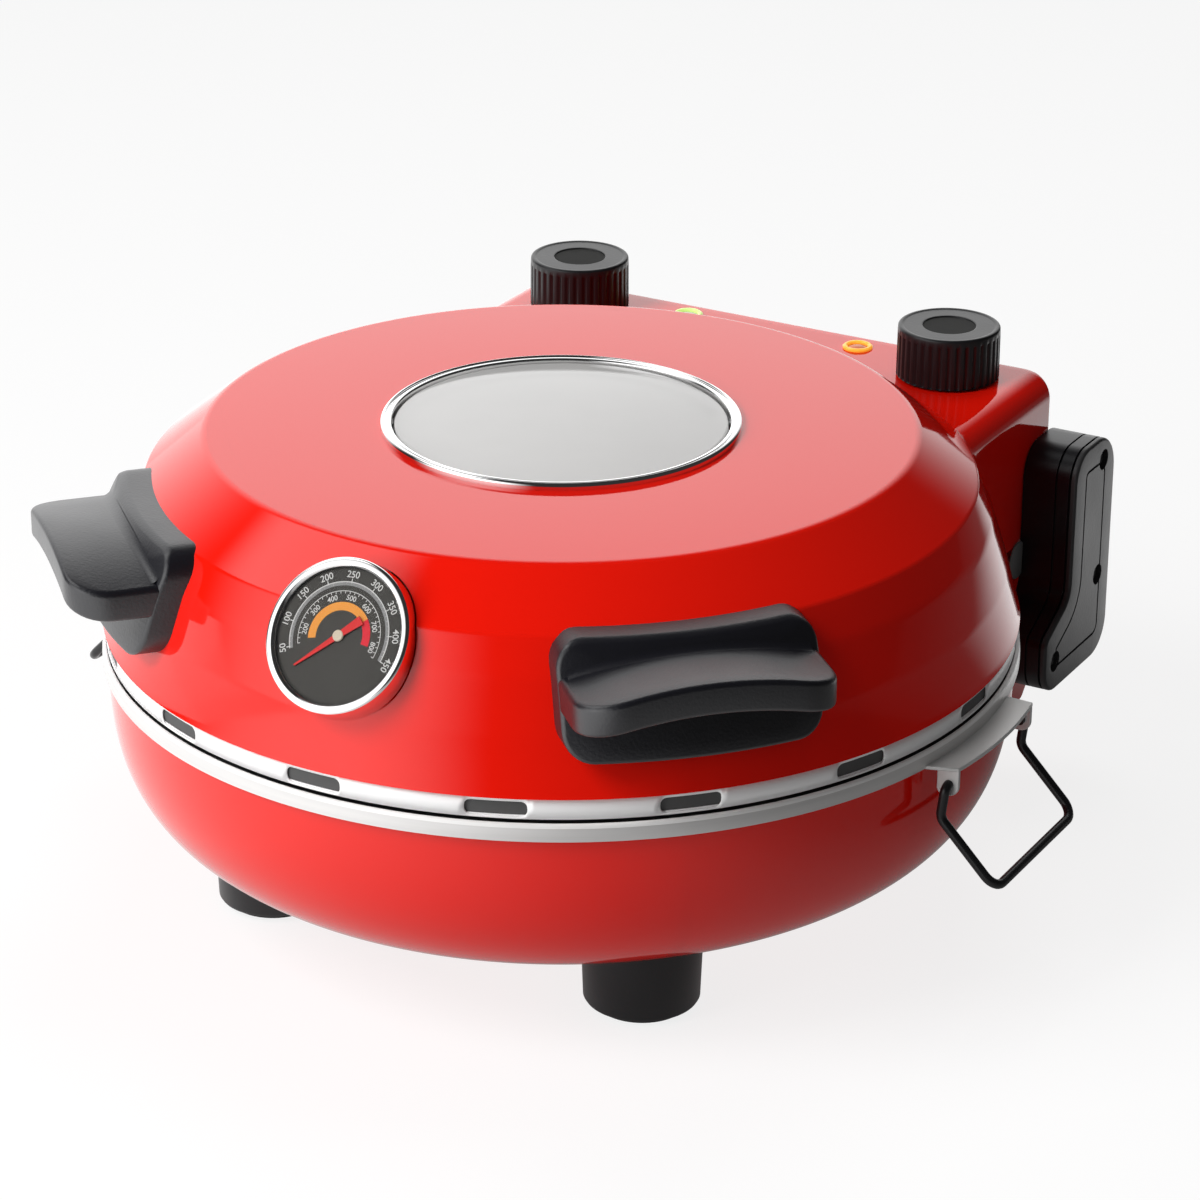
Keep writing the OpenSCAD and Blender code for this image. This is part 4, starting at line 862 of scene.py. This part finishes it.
def make_needle():
    """A long pointer with a short broad tail, and a pale hub."""
    low, high = DIAL_TOP + 0.5, DIAL_TOP + 0.9
    a = radians(225)
    line = [(18.6, 0.3), (-3, 1.2), (-9.8, 1.65), (-9.8, -1.65), (-3, -1.2), (18.6, -0.3)]
    turn = lambda p: (p[0] * cos(a) - p[1] * sin(a), p[0] * sin(a) + p[1] * cos(a))
    loops = [[gauge_point(*turn(p), h) for p in line] for h in (low, high)]
    skin("gauge_needle", loops, "needle_red", "needle", ["gauge_needle"], sharp=30)
    hub = [(0, low), (2.0, low), (2.0, high), (1.7, high + 0.25), (0, high + 0.25)]
    revolve("needle_hub", hub, "needle_red", "needle", closed=False, steps=40, place=gauge_spin,
            finish=HUB_CREAM)


make_gauge()
make_needle()

# ---- side brackets and wire handles --------------------------------------------------------


def soften(obj, width):
    """Rounds a sheet's edges by this width."""
    edge = obj.modifiers.new("edge", "BEVEL")
    edge.width = width * MM
    edge.segments = 2
    edge.limit_method = "ANGLE"


def make_bracket(side, name):
    """A plate that follows the rim, with an ear folded down at each end."""
    sheet, top, steps = 1.5, 96.0, 16
    outer_r, inner_r = 180, 169.4
    outer = [(sqrt(outer_r ** 2 - y * y), y)
             for y in [-EAR_Y + 2 * EAR_Y * k / steps for k in range(steps + 1)]]
    rear, front = EAR_Y + 0.5, -EAR_Y - 4
    inner = [(sqrt(inner_r ** 2 - y * y), y)
             for y in [rear + (front - rear) * k / steps for k in range(steps + 1)]]
    plate = [[(side * x, y, z) for x, y in outer + inner] for z in (top - sheet, top)]
    soften(skin("side_bracket_" + name, plate, "bracket_steel", "base", ["side_bracket_" + name]), 0.4)
    ear_in, ear_out, ear_top, ear_low = 168.8, 177.2, top - 0.2, PIVOT_Z - 4.5
    ear = rounded([(ear_in, ear_top, 0), (ear_in, ear_low, 2.5), (ear_out, ear_low, 4),
                   (ear_out, ear_top, 0)], 6)
    for end, where in ((-1, "front"), (1, "rear")):
        loops = [[(side * x, end * y, z) for x, z in ear] for y in (EAR_Y - sheet, EAR_Y)]
        soften(skin(f"bracket_ear_{name}_{where}", loops, "bracket_steel", "base"), 0.35)


def make_bail(side, name):
    """A bent wire through corners rounded by the bending tool."""
    y, end_y, steps = EAR_Y + 2.7, 28.3, 8
    half = [((PIVOT_X, end_y, PIVOT_Z), 0), ((PIVOT_X, y, PIVOT_Z), 2.4), ((172.0, y, 77.0), 5),
            ((194.0, y, 54.5), 6)]
    corners = half + [((p[0], -p[1], p[2]), r) for p, r in reversed(half)]
    path = []
    for i, (p, r) in enumerate(corners):
        if r == 0:
            path.append(Vector(p))
            continue
        p0, p1, p2 = (Vector(corners[i + d][0]) for d in (-1, 0, 1))
        a, b = (p0 - p1).normalized(), (p2 - p1).normalized()
        half_angle = a.angle(b) / 2
        start, finish = p1 + a * (r / tan(half_angle)), p1 + b * (r / tan(half_angle))
        centre = p1 + (a + b).normalized() * (r / sin(half_angle))
        for k in range(steps + 1):
            spoke = (start - centre).normalized().slerp((finish - centre).normalized(), k / steps)
            path.append(centre + spoke * r)
    curve = bpy.data.curves.new("bail_" + name, "CURVE")
    curve.dimensions = "3D"
    curve.bevel_depth = WIRE_R * MM
    curve.bevel_resolution = 6
    curve.use_fill_caps = True
    line = curve.splines.new("POLY")
    line.points.add(len(path) - 1)
    for point, p in zip(line.points, path):
        point.co = (*to_frame((side * p.x, p.y, p.z)), 1)
    obj = bpy.data.objects.new("bail_" + name, curve)
    bpy.context.scene.collection.objects.link(obj)
    curve.materials.append(FINISH["wire_black"])
    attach(obj, "bail_" + name)
    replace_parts(obj, "bail_" + name)


for side, name in ((1, "right"), (-1, "left")):
    make_bracket(side, name)
    make_bail(side, name)

# ---- set and light -------------------------------------------------------------------------


AMBIENT = 0.15
FLOOR_BOUNCE = 0.5
DARK_ROOM = 0.03
REFLECTED_PANELS = [  # turn from the camera's side, height, where it ends and is full, brightness
    (-170, 10, 50, 12, 1.65),
    (-108, 51, 21, 9, 2.1),
    (-60, 10, 44, 2, 1.9),
]
FLOOR_HALF, FLOOR_Z = 7, -0.0004


def ramp(nodes, links, value, low, high, top):
    """Smoothly rises from 0 at low to top at high."""
    step = nodes.new("ShaderNodeMapRange")
    step.interpolation_type = "SMOOTHSTEP"
    step.inputs["From Min"].default_value = low
    step.inputs["From Max"].default_value = high
    step.inputs["To Min"].default_value = 0
    step.inputs["To Max"].default_value = top
    links.new(value, step.inputs["Value"])
    return step.outputs["Result"]


def maths(nodes, links, operation, a, b):
    """Joins two values, each a number or another node's output."""
    node = nodes.new("ShaderNodeMath")
    node.operation = operation
    for socket, value in zip(node.inputs, (a, b)):
        if isinstance(value, (int, float)):
            socket.default_value = value
        else:
            links.new(value, socket)
    return node.outputs[0]


def along(nodes, links, value, direction):
    """How far a vector reaches in a direction."""
    dot = nodes.new("ShaderNodeVectorMath")
    dot.operation = "DOT_PRODUCT"
    dot.inputs[1].default_value = direction
    links.new(value, dot.inputs[0])
    return dot.outputs["Value"]


def seen_at(turn, up):
    """The direction at an angle to the right of the camera's side, and above the table."""
    a, e = radians(CAMERA_AZIMUTH + turn - 90), radians(up)
    return Vector((cos(a) * cos(e), sin(a) * cos(e), sin(e)))


def blend(nodes, links, amount, one, other):
    """The value `one` where amount is 1, and `other` where it is 0."""
    gap = maths(nodes, links, "SUBTRACT", one, other)
    return maths(nodes, links, "ADD", maths(nodes, links, "MULTIPLY", amount, gap), other)


def make_world():
    """White to the camera, softboxes to shiny surfaces, and an even grey to everything else."""
    world = bpy.data.worlds.new("studio")
    bpy.context.scene.world = world
    world.use_nodes = True
    nodes, links = world.node_tree.nodes, world.node_tree.links
    way = nodes.new("ShaderNodeTexCoord").outputs["Generated"]
    shine = DARK_ROOM
    for turn, up, outside, inside, level in REFLECTED_PANELS:
        facing = along(nodes, links, way, seen_at(turn, up))
        panel = ramp(nodes, links, facing, cos(radians(outside)), cos(radians(inside)), level)
        shine = maths(nodes, links, "ADD", panel, shine)
    ray = nodes.new("ShaderNodeLightPath")
    level = blend(nodes, links, ray.outputs["Is Glossy Ray"], shine, AMBIENT)
    level = blend(nodes, links, ray.outputs["Is Camera Ray"], 1.0, level)
    links.new(level, nodes["Background"].inputs["Color"])


def make_floor():
    """White to the camera with a faint shadow; to reflections it is bright on the left and far back."""
    mat = bpy.data.materials.new("floor_paint")
    mat.use_nodes = True
    nodes, links = mat.node_tree.nodes, mat.node_tree.links
    nodes.remove(nodes["Principled BSDF"])
    ray = nodes.new("ShaderNodeLightPath")
    where = nodes.new("ShaderNodeTexCoord").outputs["Object"]
    left = along(nodes, links, where, seen_at(-90, 0))
    away = along(nodes, links, where, seen_at(180, 0))

    def rise(value, low, high, top):
        return ramp(nodes, links, value, low, high, top)

    def join(operation, a, b):
        return maths(nodes, links, operation, a, b)

    near = join("ADD", rise(left, -0.28, -0.10, 0.22), rise(left, -0.05, 0.30, 0.9))
    near = join("ADD", near, DARK_ROOM)
    far = join("MULTIPLY", rise(away, 0.08, 0.22, 1.3), rise(left, -0.9, -0.35, 1.0))
    shine = join("MAXIMUM", near, far)
    bounce = join("ADD", rise(left, -0.35, 0.25, FLOOR_BOUNCE), 0.05)
    camera_glow = join("MULTIPLY", ray.outputs["Is Camera Ray"], 0.82)
    glow = join("ADD", camera_glow, join("MULTIPLY", ray.outputs["Is Diffuse Ray"], bounce))
    glow = join("ADD", glow, join("MULTIPLY", ray.outputs["Is Glossy Ray"], shine))
    emit = nodes.new("ShaderNodeEmission")
    links.new(glow, emit.inputs["Strength"])
    matte = nodes.new("ShaderNodeBsdfDiffuse")
    matte.inputs["Color"].default_value = (0.2, 0.2, 0.2, 1)
    both = nodes.new("ShaderNodeAddShader")
    links.new(emit.outputs[0], both.inputs[0])
    links.new(matte.outputs[0], both.inputs[1])
    links.new(both.outputs[0], nodes["Material Output"].inputs["Surface"])
    half, mesh = FLOOR_HALF, bpy.data.meshes.new("floor")
    mesh.from_pydata([(-half, -half, 0), (half, -half, 0), (half, half, 0), (-half, half, 0)], [],
                     [(0, 1, 2, 3)])
    mesh.materials.append(mat)
    floor = bpy.data.objects.new("floor", mesh)
    bpy.context.scene.collection.objects.link(floor)
    floor.location = (0, 0, FLOOR_Z)


def softbox(name, turn, up, size, level):
    """A soft lamp out of sight of reflections, that gives a surface facing it this light level."""
    distance = 2.2
    light = bpy.data.lights.new(name, "AREA")
    light.shape = "SQUARE"
    light.size = size
    light.energy = level * (pi * distance) ** 2
    obj = bpy.data.objects.new(name, light)
    bpy.context.scene.collection.objects.link(obj)
    obj.location = seen_at(turn, up) * distance
    obj.rotation_euler = (-obj.location).to_track_quat("-Z", "Y").to_euler()
    obj.visible_glossy = False


make_world()
make_floor()
softbox("key_low", -57, 14, 0.9, 0.40)
softbox("key_high", -60, 45, 1.0, 0.66)
softbox("top", 165, 70, 1.0, 0.2)

bpy.context.scene.view_settings.view_transform = "Standard"
